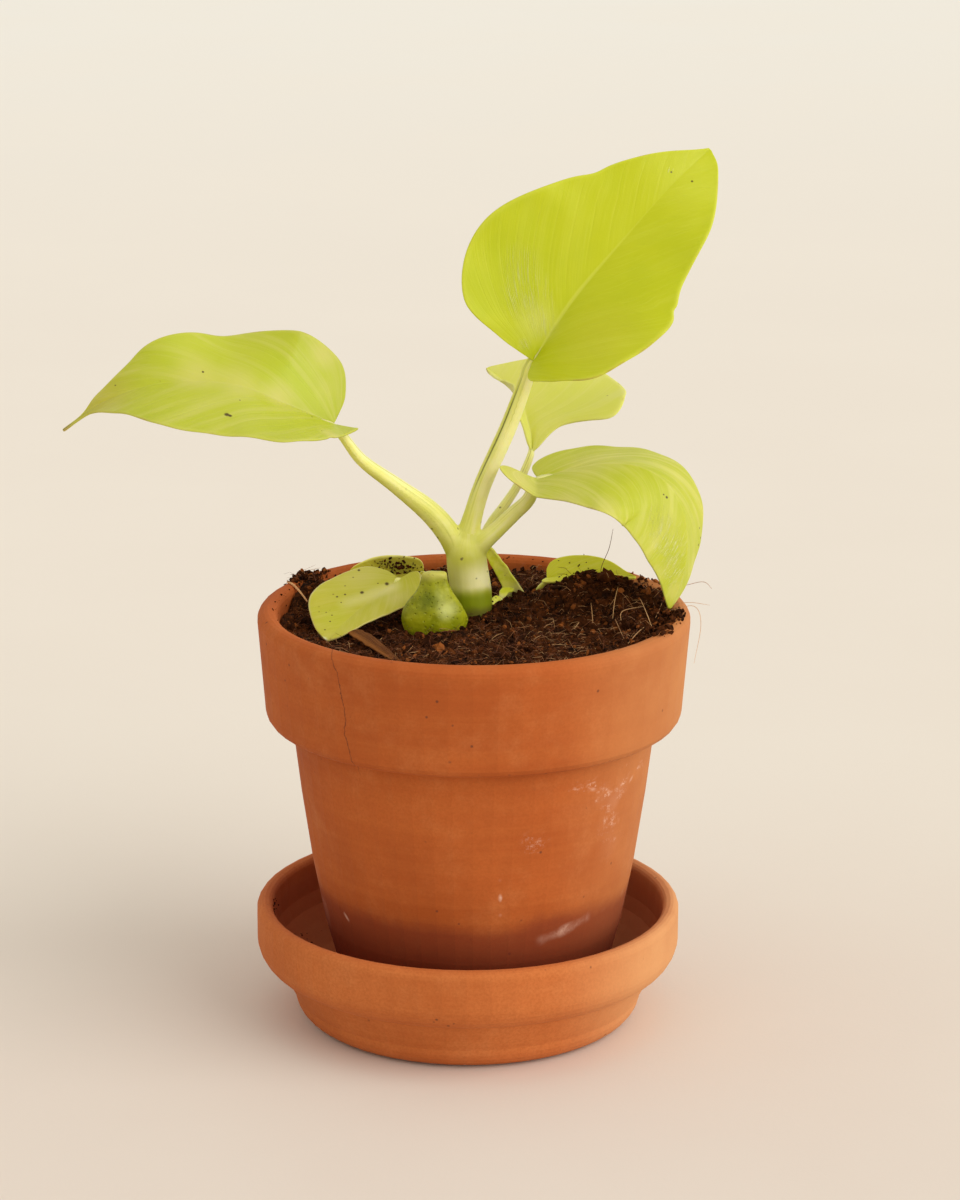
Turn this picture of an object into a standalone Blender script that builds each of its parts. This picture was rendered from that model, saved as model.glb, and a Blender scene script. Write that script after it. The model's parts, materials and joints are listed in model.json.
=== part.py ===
"""A young philodendron warszewiczii in a clay pot on its saucer.

The origin is the centre of the saucer's flat underside, +Z is up, and the plant is seen from
the front along +Y. Driving sizes are given in millimetres and turned into metres on use.
"""

import math

import bmesh
import bpy
import numpy as np
from mathutils import Vector, noise

MM = 0.001

# Saucer
SAUCER_HEIGHT = 30.2
SAUCER_RIM_RADIUS = 54.7
SAUCER_WALL = 4.1
SAUCER_BAND_BOTTOM = 13.2
SAUCER_BAND_CORNER = 7.7
SAUCER_FOOT_TOP_RADIUS = 48.6
SAUCER_FOOT_RADIUS = 45.0
SAUCER_FOOT_CORNER = 5.8
SAUCER_FLOOR = 7.2
# The inside of the saucer from the flat floor up to the wall: radius, height
SAUCER_COVE = (
    (36.8, 7.2),
    (39.6, 7.8),
    (42.2, 9.4),
    (44.6, 11.7),
    (46.95, 14.4),
    (49.2, 17.4),
    (50.3, 21.0),
)

# Pot
POT_CENTRE_X = 1.4
POT_BOTTOM = 7.5
POT_TOP = 108.4
POT_RIM_RADIUS = 55.0
POT_WALL = 5.15
POT_BAND_BOTTOM = 79.2
POT_BAND_BOTTOM_RADIUS = 53.2
POT_SHOULDER_RADIUS = 46.5
POT_MIDDLE_Z = 42.0
POT_MIDDLE_RADIUS = 41.5
POT_FOOT_RADIUS = 33.7
POT_FLOOR_THICKNESS = 6.0
DRAIN_HOLE_RADIUS = 6.5

# Soil
SOIL_LEVEL = 104.2
SOIL_CLEARANCE = 0.35
SOIL_RINGS = 14
SOIL_SECTORS = 60
# Each heap: centre x, centre y, height, spread along x, spread along y
SOIL_HEAPS = (
    (34.0, 8.0, 6.4, 12.0, 7.0),
    (48.0, -2.0, 3.2, 9.0, 17.0),
    (3.0, 7.0, 2.4, 8.0, 6.0),
    (-43.0, 19.0, 6.0, 5.0, 6.0),
    (10.0, 34.0, 1.6, 22.0, 12.0),
    (-32.0, -12.0, -2.8, 12.0, 15.0),
)
CLOD_SIZE = 7.0
CLOD_HEIGHT = 0.9

# Plant
GAP = 0.3
HOLE_CLEARANCE = 0.35
BLADE_THICKNESS = 0.8
TIP_HALF_WIDTH = 0.45
TURN_SEGMENTS = 56
STALK_SIDES = 12

# The crown from the rootstock in the soil to the fork: x, y, z, radius
CROWN_PATH = (
    (1.3, 5.0, 72.0, 1.8),
    (1.3, 5.0, 84.0, 3.4),
    (1.3, 5.0, 98.0, 4.6),
    (1.3, 5.0, 108.0, 4.75),
    (1.0, 5.0, 113.0, 4.5),
    (0.2, 5.0, 117.0, 4.2),
    (-1.0, 5.0, 121.0, 4.2),
    (-1.4, 5.0, 124.0, 3.0),
)

# Each stalk: its path as x, y, z, radius from the crown towards the blade, its radius at its
# end, where that end lies from the midrib's base, and the length of its first stretch, which
# has grown together with the crown
STALKS = {
    "tall": {
        "path": (
            (-0.7, 5.5, 120.5, 2.3),
            (3.2, 6.0, 134.5, 2.2),
            (6.9, 5.5, 146.6, 2.1),
            (11.6, 4.8, 159.9, 1.95),
        ),
        "end_radius": 1.5,
        "end": (-0.5, 2.1, -1.0),
        "root": 12.0,
    },
    "left": {
        "path": (
            (-4.0, 5.0, 120.5, 2.9),
            (-9.9, 4.0, 131.0, 2.6),
            (-18.4, 2.0, 139.2, 2.0),
            (-26.9, -0.4, 146.5, 1.6),
        ),
        "end_radius": 1.1,
        "end": (1.0, 0.2, -1.5),
        "root": 9.0,
    },
    "right": {
        "path": (
            (1.6, 5.0, 120.5, 2.6),
            (4.9, 4.8, 125.2, 2.3),
            (8.8, 4.6, 129.2, 1.95),
            (13.8, 4.2, 134.2, 1.7),
        ),
        "end_radius": 1.4,
        "end": (-0.4, 0.0, -0.8),
        "root": 9.5,
    },
    "back": {
        "path": (
            (2.2, 8.0, 120.0, 1.6),
            (4.9, 11.5, 127.3, 1.45),
            (8.6, 15.5, 133.0, 1.35),
            (13.2, 19.0, 137.8, 1.25),
        ),
        "end_radius": 1.1,
        "end": (-0.2, -0.2, -0.5),
        "root": 10.0,
    },
}

# Stalks of the three low leaves, from below the soil's surface towards the blade
LOW_STALKS = {
    "low_front": ((-13.5, 8.5, 96.0, 1.1), (-15.0, 9.0, 106.0, 1.05)),
    "low_rear": ((-6.0, 20.0, 96.0, 1.0), (-8.0, 22.5, 106.0, 0.95)),
    "low_side": ((15.0, 22.5, 96.0, 1.0), (17.0, 22.0, 106.0, 0.95)),
}
LOW_STALK_END_RADIUS = 0.85
LOW_STALK_END = (0.0, 0.0, -1.0)


def half(margin, fold, lift=0.0):
    """One half of a blade: its edge from the lobe to near the tip, as distances along and out
    from the midrib, its angle to the blade's mean plane from base to tip, and how steeply its
    lobe rises."""
    return {"margin": margin, "fold": fold, "lift": lift}


# Each blade: its midrib from base to tip, the way its upper face looks from base to tip, and
# its halves to the left and right of the midrib, seen from above with the tip ahead
BLADES = {
    "tall": {
        "midrib": (
            (16.0, 4.0, 171.1),
            (26.2, 6.0, 186.8),
            (40.3, 10.0, 203.0),
            (50.1, 14.0, 213.5),
            (60.3, 20.0, 222.1),
        ),
        "facing": ((-0.25, -1.0, 0.3), (0.0, -1.0, 0.4)),
        "left": half(
            ((0.8, 11.5), (4.4, 23.4), (19.4, 29.7), (37.8, 21.9), (56.4, 10.4), (67.0, 2.6)),
            (31, 17, 12, 8, 8),
        ),
        "right": half(
            ((-3.8, 3.8), (6.3, 20.5), (27.1, 24.9), (39.0, 19.2), (55.3, 14.7), (67.2, 5.8)),
            (38, 16, 9, 8, 7),
            0.13,
        ),
        "notch": 2.2,
    },
    "left": {
        "midrib": (
            (-33.7, -2.0, 156.2),
            (-45.4, -6.0, 162.1),
            (-58.8, -9.0, 167.8),
            (-76.0, -12.0, 168.4),
            (-89.5, -14.0, 164.3),
            (-99.9, -15.0, 157.2),
        ),
        "facing": ((0.0, -0.65, 1.0), (0.0, -0.65, 1.0), (-0.3, -0.4, 1.0)),
        "left": half(
            ((-5.1, 2.3), (12.6, 21.6), (22.6, 22.6), (46.4, 18.5), (58.6, 8.2), (67.2, 1.1)),
            (28, 24, 10, 9, 9, 10),
            0.6,
        ),
        "right": half(
            ((-1.1, 8.8), (3.2, 17.2), (18.1, 19.9), (44.0, 12.7), (51.8, 8.0), (68.8, 3.4)),
            (25, 21, -1, 20, 8, 18),
        ),
        "notch": 1.75,
    },
    "right": {
        "midrib": (
            (17.5, 4.0, 141.0),
            (26.0, 3.0, 143.6),
            (35.0, 1.8, 145.4),
            (44.0, 0.0, 144.6),
            (51.0, -2.0, 139.6),
            (54.6, -4.0, 130.5),
            (54.3, -5.6, 120.5),
            (50.6, -7.0, 109.9),
        ),
        "facing": (
            (0.0, -0.35, 1.0),
            (0.1, -0.4, 1.0),
            (0.45, -0.5, 0.85),
            (0.8, -0.6, 0.5),
            (1.0, -0.7, 0.2),
        ),
        "left": half(
            ((-1.4, 5.7), (4.2, 10.0), (17.5, 14.0), (44.5, 14.2), (57.1, 7.0), (64.3, 3.5)),
            (3, -17, -15, -19, -12),
        ),
        "right": half(
            (
                (-7.2, 5.0),
                (-4.6, 9.8),
                (2.9, 16.1),
                (18.0, 21.2),
                (37.0, 19.4),
                (54.2, 13.4),
                (64.0, 4.5),
            ),
            (21, 2, -12, -15, -12),
            1.05,
        ),
        "notch": 1.9,
    },
    "back": {
        "midrib": (
            (16.2, 22.0, 143.2),
            (15.7, 27.0, 148.2),
            (12.2, 38.0, 155.0),
            (4.6, 48.0, 160.0),
        ),
        "facing": ((0.2, -0.8, 1.0), (0.2, -0.8, 1.0)),
        "left": half(((5.0, 2.8), (13.0, 6.8), (22.0, 5.4), (31.0, 1.8)), (25, 66, 20)),
        "right": half(
            ((5.5, 7.9), (4.6, 22.6), (9.8, 26.7), (20.2, 22.3), (27.6, 12.0), (32.3, 4.4)),
            (34, 14, 8),
        ),
        "notch": 1.2,
        "crowding": 0.9,
    },
    "low_front": {
        "midrib": (
            (-17.8, 9.0, 113.1),
            (-23.8, 4.0, 109.9),
            (-29.5, -2.0, 106.3),
            (-35.6, -10.0, 102.7),
        ),
        "facing": ((-0.3, -1.0, 1.0), (-0.3, -1.0, 1.0)),
        "left": half(((-4.0, 3.3), (1.4, 8.1), (7.0, 9.7), (17.6, 5.7), (25.3, 2.4)), (11, 12, 5), 0.14),
        "right": half(((0.0, 5.0), (3.1, 9.8), (12.6, 13.5), (19.4, 12.3), (26.0, 5.6)), (-8, 0, 4)),
        "notch": 1.3,
    },
    "low_rear": {
        "midrib": (
            (-11.7, 25.0, 110.6),
            (-18.0, 26.0, 109.8),
            (-24.5, 26.0, 109.5),
            (-31.0, 26.0, 110.6),
        ),
        "facing": ((0.0, -0.3, 1.0), (0.0, -0.3, 1.0)),
        "left": half(((-1.6, 2.6), (1.6, 4.3), (5.7, 4.6), (12.6, 3.3), (17.4, 1.4)), (11, 11, 10)),
        "right": half(((0.4, 2.8), (2.4, 4.3), (7.7, 5.3), (13.8, 5.0), (17.9, 2.4)), (39, 41, 31)),
        "notch": 1.2,
    },
    "low_side": {
        "midrib": (
            (20.3, 21.0, 110.2),
            (27.5, 20.0, 111.6),
            (35.1, 17.0, 112.6),
            (43.0, 12.5, 112.6),
        ),
        "facing": ((0.0, -0.3, 1.0), (0.0, -0.3, 1.0)),
        "left": half(((0.2, 2.6), (2.2, 4.6), (6.8, 5.2), (14.4, 4.2), (21.4, 1.4)), (40, 40, 30)),
        "right": half(((-1.2, 2.4), (1.8, 4.4), (9.2, 5.2), (17.0, 4.6), (22.3, 1.8)), (13, 13, 7)),
        "notch": 1.2,
    },
}
LARGE_BLADE_ROWS = 18
SMALL_BLADE_ROWS = 12
LARGE_BLADE_COLUMNS = (0.0, 0.3, 0.62, 1.0)
SMALL_BLADE_COLUMNS = (0.0, 0.5, 1.0)
ROW_CROWDING = 1.35

# The stump of an old leaf: centre, depth over width, and its outline as radius at height
OLD_BASE_CENTRE = (-8.9, -6.0)
OLD_BASE_DEPTH = 0.58
OLD_BASE_FOOT = 99.0
OLD_BASE_OUTLINE = (
    (3.1, 118.7),
    (3.6, 116.0),
    (5.6, 112.6),
    (7.5, 109.2),
    (7.6, 106.6),
    (6.4, 103.4),
    (4.6, OLD_BASE_FOOT),
)

# The torn strip of an old sheath, from the crown down to the soil
OLD_SHEATH_PATH = ((7.4, 8.0, 119.6), (9.6, 10.4, 115.4), (12.0, 13.0, 111.0), (14.2, 15.6, 108.4))
OLD_SHEATH_WIDTH = 3.4
OLD_SHEATH_THICKNESS = 0.8

# The strip of bark that lies in the soil at the front left
BARK_START = (-28.0, -12.5)
BARK_END = (-17.2, -33.6)
BARK_LEVEL = 104.2
BARK_START_WIDTH = 4.2
BARK_END_WIDTH = 2.0
BARK_THICKNESS = 1.6


def clear_scene():
    for obj in list(bpy.data.objects):
        bpy.data.objects.remove(obj, do_unlink=True)


def make_collection(name):
    collection = bpy.data.collections.new(name)
    bpy.context.scene.collection.children.link(collection)
    return collection


def make_material(name, colour, roughness):
    material = bpy.data.materials.new(name)
    material.use_nodes = True
    shader = material.node_tree.nodes["Principled BSDF"]
    shader.inputs["Base Color"].default_value = (*colour, 1.0)
    shader.inputs["Roughness"].default_value = roughness
    shader.inputs["Metallic"].default_value = 0.0
    return material


def curve_through(points, count):
    """Points on a smooth curve that passes through the given ones, from the first to the last."""
    given = np.asarray(points, float)
    if given.ndim == 1:
        given = given[:, None]
    ends = np.vstack([2 * given[0] - given[1], given, 2 * given[-1] - given[-2]])
    place = np.linspace(0, len(given) - 1, count)
    first = np.minimum(place.astype(int), len(given) - 2)
    t = (place - first)[:, None]
    a, b, c, d = ends[first], ends[first + 1], ends[first + 2], ends[first + 3]
    return 0.5 * (
        2 * b + (c - a) * t + (2 * a - 5 * b + 4 * c - d) * t**2 + (3 * b - a - 3 * c + d) * t**3
    )


def unit(vectors):
    return vectors / np.linalg.norm(vectors, axis=-1, keepdims=True)


def arc(centre_r, centre_z, radius, start, end, steps=4):
    """Points on an arc of a turned outline, with the angles in degrees from the outward side."""
    angles = [math.radians(start + (end - start) * i / steps) for i in range(steps + 1)]
    return [(centre_r + radius * math.cos(a), centre_z + radius * math.sin(a)) for a in angles]


def turned(name, outline, closed, collection, material, segments=TURN_SEGMENTS):
    """A turned body from an outline of (radius, height), down its outer side first."""
    mesh = bpy.data.meshes.new(name)
    points = [(r * MM, 0.0, z * MM) for r, z in outline]
    edges = [(i, i + 1) for i in range(len(points) - 1)]
    if closed:
        edges.append((len(points) - 1, 0))
    mesh.from_pydata(points, edges, [])
    body = bpy.data.objects.new(name, mesh)
    collection.objects.link(body)
    screw = body.modifiers.new("turn", "SCREW")
    screw.axis = "Z"
    screw.steps = segments
    screw.render_steps = segments
    screw.use_merge_vertices = True
    screw.merge_threshold = 0.00002
    screw.use_smooth_shade = True
    mesh.materials.append(material)
    return body


def as_mesh(obj, collection, material):
    """The object's final shape as a plain mesh object of the same name, in its place."""
    graph = bpy.context.evaluated_depsgraph_get()
    mesh = bpy.data.meshes.new_from_object(obj.evaluated_get(graph))
    name = obj.name
    matrix = obj.matrix_world.copy()
    bpy.data.objects.remove(obj, do_unlink=True)
    shape = bmesh.new()
    shape.from_mesh(mesh)
    bmesh.ops.remove_doubles(shape, verts=shape.verts, dist=0.000005)
    bmesh.ops.recalc_face_normals(shape, faces=shape.faces)
    shape.to_mesh(mesh)
    shape.free()
    mesh.materials.clear()
    mesh.materials.append(material)
    mesh.shade_smooth()
    mesh.set_sharp_from_angle(angle=math.radians(40))
    made = bpy.data.objects.new(name, mesh)
    made.matrix_world = matrix
    collection.objects.link(made)
    return made


def tube(name, path, collection, material, points=14):
    """A round stalk along a smooth path of (x, y, z, radius), as a mesh."""
    curve = bpy.data.curves.new(name, "CURVE")
    curve.dimensions = "3D"
    curve.bevel_depth = MM
    curve.bevel_resolution = STALK_SIDES // 4 - 1
    curve.use_fill_caps = True
    spline = curve.splines.new("POLY")
    along = curve_through(path, points)
    spline.points.add(len(along) - 1)
    for point, (x, y, z, radius) in zip(spline.points, along):
        point.co = (x * MM, y * MM, z * MM, 1.0)
        point.radius = radius
    stalk = bpy.data.objects.new(name, curve)
    collection.objects.link(stalk)
    bpy.context.view_layer.update()
    return as_mesh(stalk, collection, material)


def stretch(path, start, end):
    """The part of a path of (x, y, z, radius) between two lengths along it."""
    fine = curve_through(path, 200)
    run = np.concatenate([[0], np.cumsum(np.linalg.norm(np.diff(fine[:, :3], axis=0), axis=1))])
    end = run[-1] if end is None else end
    places = np.linspace(start, end, 9)
    return [[float(np.interp(p, run, fine[:, i])) for i in range(4)] for p in places]


def to_blade(name, path, end, end_radius):
    """A stalk's path with its last point close to the base of its blade's midrib."""
    base = np.asarray(BLADES[name]["midrib"][0])
    return [*path, (*(base + end), end_radius)]


def stalk_path(name):
    stalk = STALKS[name]
    return to_blade(name, stalk["path"], stalk["end"], stalk["end_radius"])


def low_stalk_path(name):
    return to_blade(name, LOW_STALKS[name], LOW_STALK_END, LOW_STALK_END_RADIUS)


def cut_out(target, cutter):
    cutter.hide_render = True
    cutter.display_type = "WIRE"
    boolean = target.modifiers.new("cut " + cutter.name, "BOOLEAN")
    boolean.operation = "DIFFERENCE"
    boolean.solver = "EXACT"
    boolean.object = cutter


def sheet(name, grid, thickness, collection, material):
    """A thin body from a grid of points in millimetres, split alike on both faces."""
    rows, columns = grid.shape[:2]
    shape = bmesh.new()
    points = [[shape.verts.new([float(c) * MM for c in p]) for p in row] for row in grid]
    for i in range(rows - 1):
        for j in range(columns - 1):
            shape.faces.new(
                (points[i][j], points[i][j + 1], points[i + 1][j + 1], points[i + 1][j])
            )
    bmesh.ops.triangulate(shape, faces=shape.faces)
    mesh = bpy.data.meshes.new(name)
    shape.to_mesh(mesh)
    shape.free()
    mesh.materials.append(material)
    mesh.shade_smooth()
    body = bpy.data.objects.new(name, mesh)
    collection.objects.link(body)
    solidify = body.modifiers.new("thickness", "SOLIDIFY")
    solidify.thickness = thickness * MM
    solidify.offset = 0.0
    solidify.use_quality_normals = True
    return body


def make_saucer(collection, material):
    lip = SAUCER_WALL / 2
    outline = arc(SAUCER_RIM_RADIUS - lip, SAUCER_HEIGHT - lip, lip, 90, 0)
    band, foot = SAUCER_BAND_CORNER, SAUCER_FOOT_CORNER
    outline += arc(SAUCER_RIM_RADIUS - band, SAUCER_BAND_BOTTOM + band, band, 0, -76, 6)
    outline += [(SAUCER_FOOT_TOP_RADIUS, SAUCER_BAND_BOTTOM)]
    outline += arc(SAUCER_FOOT_RADIUS - foot, foot, foot, 0, -90, 6)
    outline += [(0.0, 0.0), (0.0, SAUCER_FLOOR), *SAUCER_COVE]
    outline += arc(SAUCER_RIM_RADIUS - lip, SAUCER_HEIGHT - lip, lip, 180, 120, 3)
    return turned("saucer", outline, True, collection, material)


def pot_inner_radius(z):
    """The radius of the pot's inside at a height, from the floor to the lip."""
    floor = POT_BOTTOM + POT_FLOOR_THICKNESS
    heights = (floor, POT_MIDDLE_Z, POT_BAND_BOTTOM - 3, POT_BAND_BOTTOM + 5, POT_TOP)
    radii = (
        POT_FOOT_RADIUS - 4.0,
        POT_MIDDLE_RADIUS - POT_WALL,
        POT_SHOULDER_RADIUS - POT_WALL - 0.3,
        POT_RIM_RADIUS - POT_WALL - 1.6,
        POT_RIM_RADIUS - POT_WALL,
    )
    return float(np.interp(z, heights, radii))


def make_pot(collection, material):
    lip = POT_WALL / 2
    floor = POT_BOTTOM + POT_FLOOR_THICKNESS
    outline = arc(POT_RIM_RADIUS - lip, POT_TOP - lip, lip, 90, 0)
    outline += arc(POT_BAND_BOTTOM_RADIUS - 3.6, POT_BAND_BOTTOM + 3.6, 3.6, 0, -90)
    outline += [(POT_SHOULDER_RADIUS, POT_BAND_BOTTOM)]
    outline += [(44.3, 61.0), (POT_MIDDLE_RADIUS, POT_MIDDLE_Z), (38.4, 26.0)]
    outline += arc(POT_FOOT_RADIUS - 1.2, POT_BOTTOM + 1.2, 1.2, 0, -90, 3)
    outline += [(DRAIN_HOLE_RADIUS, POT_BOTTOM), (DRAIN_HOLE_RADIUS, floor)]
    for z in (floor, POT_MIDDLE_Z, POT_BAND_BOTTOM - 3, POT_BAND_BOTTOM + 5):
        outline += [(pot_inner_radius(z), z)]
    outline += arc(POT_RIM_RADIUS - lip, POT_TOP - lip, lip, 180, 120, 3)
    pot = turned("pot", outline, True, collection, material)
    pot.location.x = POT_CENTRE_X * MM
    return pot


def soil_height(x, y):
    """The height of the soil's surface: its level, its heaps and its clods."""
    height = SOIL_LEVEL
    for cx, cy, rise, spread_x, spread_y in SOIL_HEAPS:
        height += rise * math.exp(-(((x - cx) / spread_x) ** 2 + ((y - cy) / spread_y) ** 2) / 2)
    place = Vector((x / CLOD_SIZE, y / CLOD_SIZE, 0.0))
    height += CLOD_HEIGHT * noise.noise(place)
    height += 0.5 * CLOD_HEIGHT * noise.noise(place * 2.3 + Vector((5.0, 2.0, 1.0)))
    return height


def make_soil(collection, material):
    """The soil fills the pot from its floor to a rough surface made ring by ring."""
    shape = bmesh.new()
    floor = POT_BOTTOM + POT_FLOOR_THICKNESS + SOIL_CLEARANCE
    walls = (floor, POT_MIDDLE_Z, POT_BAND_BOTTOM - 3, POT_BAND_BOTTOM + 5)
    top_radius = pot_inner_radius(POT_TOP) - SOIL_CLEARANCE - 0.5
    angles = [2 * math.pi * i / SOIL_SECTORS for i in range(SOIL_SECTORS)]
    rings = []
    for z in walls:
        radius = pot_inner_radius(z) - SOIL_CLEARANCE
        rings.append([(radius * math.cos(a), radius * math.sin(a), z) for a in angles])
    for i in range(SOIL_RINGS, 0, -1):
        radius = top_radius * i / SOIL_RINGS
        ring = []
        for a in angles:
            x = POT_CENTRE_X + radius * math.cos(a)
            y = radius * math.sin(a)
            ring.append((x - POT_CENTRE_X, y, soil_height(x, y)))
        rings.append(ring)
    made = []
    for ring in rings:
        made.append([shape.verts.new(((x + POT_CENTRE_X) * MM, y * MM, z * MM)) for x, y, z in ring])
    for lower, upper in zip(made, made[1:]):
        for i in range(SOIL_SECTORS):
            j = (i + 1) % SOIL_SECTORS
            shape.faces.new((lower[i], lower[j], upper[j], upper[i]))
    top = shape.verts.new((POT_CENTRE_X * MM, 0.0, soil_height(POT_CENTRE_X, 0.0) * MM))
    for i in range(SOIL_SECTORS):
        shape.faces.new((made[-1][i], made[-1][(i + 1) % SOIL_SECTORS], top))
    shape.faces.new(reversed(made[0]))
    bmesh.ops.triangulate(shape, faces=shape.faces)
    mesh = bpy.data.meshes.new("soil")
    shape.to_mesh(mesh)
    shape.free()
    mesh.materials.append(material)
    soil = bpy.data.objects.new("soil", mesh)
    collection.objects.link(soil)
    return soil


def stem_holes(soil, cutters, material):
    """Plain holes in the soil for the crown, the low stalks, the old leaf base and the bark."""
    paths = {"crown hole": CROWN_PATH[:5]}
    for name in LOW_STALKS:
        paths[name + " hole"] = low_stalk_path(name)
    for name, path in paths.items():
        wider = [(x, y, z, radius + HOLE_CLEARANCE) for x, y, z, radius in path]
        x, y, z, radius = wider[0]
        wider[0] = (x, y, z - HOLE_CLEARANCE, radius)
        cut_out(soil, tube(name, wider, cutters, material, points=10))
    cut_out(soil, make_old_leaf_base("old base hole", cutters, material, HOLE_CLEARANCE))
    cut_out(soil, make_bark_strip("bark slot", cutters, material, HOLE_CLEARANCE, 6.0))


def make_crown(collection, cutters, material):
    """The crown and the first stretch of each stalk, which have grown into one piece."""
    crown = tube("crown", CROWN_PATH, collection, material, points=18)
    roots = []
    for name, stalk in STALKS.items():
        path = stretch(stalk_path(name), 0.0, stalk["root"])
        roots.append(tube("root of " + name, path, cutters, material, points=8))
    for root in roots:
        join = crown.modifiers.new("join " + root.name, "BOOLEAN")
        join.operation = "UNION"
        join.solver = "EXACT"
        join.object = root
    bpy.context.view_layer.update()
    crown = as_mesh(crown, collection, material)
    for root in roots:
        bpy.data.objects.remove(root, do_unlink=True)
    return crown


def make_stalks(collection, material):
    for name, stalk in STALKS.items():
        path = stretch(stalk_path(name), stalk["root"] + GAP, None)
        tube("petiole_" + name, path, collection, material)
    for name in LOW_STALKS:
        tube("petiole_" + name, low_stalk_path(name), collection, material, points=8)


class Midrib:
    """The line that a blade is built on, with the blade's direction and face along it."""

    def __init__(self, blade):
        self.points = curve_through(blade["midrib"], 160)
        steps = np.linalg.norm(np.diff(self.points, axis=0), axis=1)
        self.run = np.concatenate([[0], np.cumsum(steps)])
        self.length = self.run[-1]
        self.ahead = unit(np.gradient(self.points, axis=0))
        facing = unit(curve_through(blade["facing"], 160))
        along = (facing * self.ahead).sum(axis=1, keepdims=True)
        self.face = unit(facing - along * self.ahead)

    def read(self, values, distance):
        place = np.clip(distance, 0, self.length)
        return np.stack([np.interp(place, self.run, values[:, i]) for i in range(3)], -1)


def margin(part, length, notch, rows):
    """One half's edge from beside the midrib's base, round the lobe and to the tip, as evenly
    spaced points, each a distance along and out from the midrib."""
    edge = curve_through(((0.0, 0.0), *part["margin"], (length, TIP_HALF_WIDTH)), 400)
    edge = edge[np.argmax(edge[:, 1] >= notch) :]
    run = np.concatenate([[0], np.cumsum(np.linalg.norm(np.diff(edge, axis=0), axis=1))])
    places = np.linspace(0, run[-1], rows + 1)
    return np.stack([np.interp(places, run, edge[:, i]) for i in range(2)], -1)


def bend(midrib, part, side, along, out):
    """Where a point of the flat blade comes to lie, from its distances along and out."""
    ahead = unit(midrib.read(midrib.ahead, along))
    face = unit(midrib.read(midrib.face, along))
    across = np.cross(ahead, face) * side
    back = np.minimum(along, 0.0)
    share = np.clip(along / midrib.length, 0.0, 1.0)
    angles = curve_through(part["fold"], 101)[:, 0]
    fold = np.radians(np.interp(share, np.linspace(0, 1, 101), angles))
    rise = out * np.sin(fold) + part["lift"] * back**2 / (2.0 - back)
    return (
        midrib.read(midrib.points, along)
        + ahead * back[..., None]
        + across * (out * np.cos(fold))[..., None]
        + face * rise[..., None]
    )


def blade_grid(blade, rows, columns):
    """The blade's surface as rows from the left edge to the right edge, base to tip."""
    midrib = Midrib(blade)
    crowding = blade.get("crowding", ROW_CROWDING)
    start = midrib.length * np.linspace(0, 1, rows + 1) ** crowding
    share = np.asarray(columns)
    halves = []
    for name, side in (("left", -1), ("right", 1)):
        edge = margin(blade[name], midrib.length, blade["notch"], rows)
        along = start[:, None] * (1 - share) + edge[:, :1] * share
        out = edge[:, 1:] * share
        halves.append(bend(midrib, blade[name], side, along, out))
    return np.concatenate([halves[0][:, ::-1], halves[1][:, 1:]], axis=1)


def make_blades(collection, material):
    for name, blade in BLADES.items():
        small = name.startswith("low")
        rows = SMALL_BLADE_ROWS if small else LARGE_BLADE_ROWS
        columns = SMALL_BLADE_COLUMNS if small else LARGE_BLADE_COLUMNS
        grid = blade_grid(blade, rows, columns)
        sheet("leaf_" + name, grid, BLADE_THICKNESS, collection, material)


def make_old_leaf_base(name, collection, material, extra=0.0):
    """The swollen stump of an old leaf, a turned body pressed flat from front to back."""
    outline = [(0.0, OLD_BASE_OUTLINE[0][1] + extra)]
    outline += [(radius + extra, z) for radius, z in OLD_BASE_OUTLINE]
    outline[1] = (outline[1][0], outline[1][1] + extra)
    outline[-1] = (outline[-1][0], OLD_BASE_FOOT - extra)
    outline += [(0.0, OLD_BASE_FOOT - extra)]
    stump = turned(name, outline, True, collection, material, segments=24)
    # The extra width in depth stays the full clearance after the body is pressed flat
    stump.scale.y = OLD_BASE_DEPTH * (1 + extra / 10)
    stump.location = (OLD_BASE_CENTRE[0] * MM, OLD_BASE_CENTRE[1] * MM, 0.0)
    bpy.context.view_layer.update()
    return stump


def make_old_sheath(collection, material):
    """The old sheath's strip, with its width turned to the front."""
    line = curve_through(OLD_SHEATH_PATH, 9)
    ahead = unit(np.gradient(line, axis=0))
    across = unit(np.cross(ahead, (0.0, 1.0, 0.15)))
    shares = np.linspace(-0.5, 0.5, 3)
    grid = line[:, None, :] + across[:, None, :] * (shares * OLD_SHEATH_WIDTH)[None, :, None]
    sheet("old_sheath", grid, OLD_SHEATH_THICKNESS, collection, material)


def make_bark_strip(name, collection, material, extra=0.0, headroom=0.0):
    """A tapered strip, which lies half sunk in the soil."""
    start = Vector((*BARK_START, 0.0))
    end = Vector((*BARK_END, 0.0))
    ahead = (end - start).normalized()
    across = Vector((-ahead.y, ahead.x, 0.0))
    start -= ahead * extra
    end += ahead * extra
    shape = bmesh.new()
    bmesh.ops.create_cube(shape, size=1.0)
    for vert in shape.verts:
        far = vert.co.x > 0
        width = BARK_END_WIDTH if far else BARK_START_WIDTH
        place = end if far else start
        place = place + across * (math.copysign(width / 2 + extra, vert.co.y))
        low = BARK_LEVEL - BARK_THICKNESS - extra
        high = BARK_LEVEL + headroom
        vert.co = (place.x * MM, place.y * MM, (high if vert.co.z > 0 else low) * MM)
    mesh = bpy.data.meshes.new(name)
    shape.to_mesh(mesh)
    shape.free()
    mesh.materials.append(material)
    strip = bpy.data.objects.new(name, mesh)
    collection.objects.link(strip)
    return strip


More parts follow.
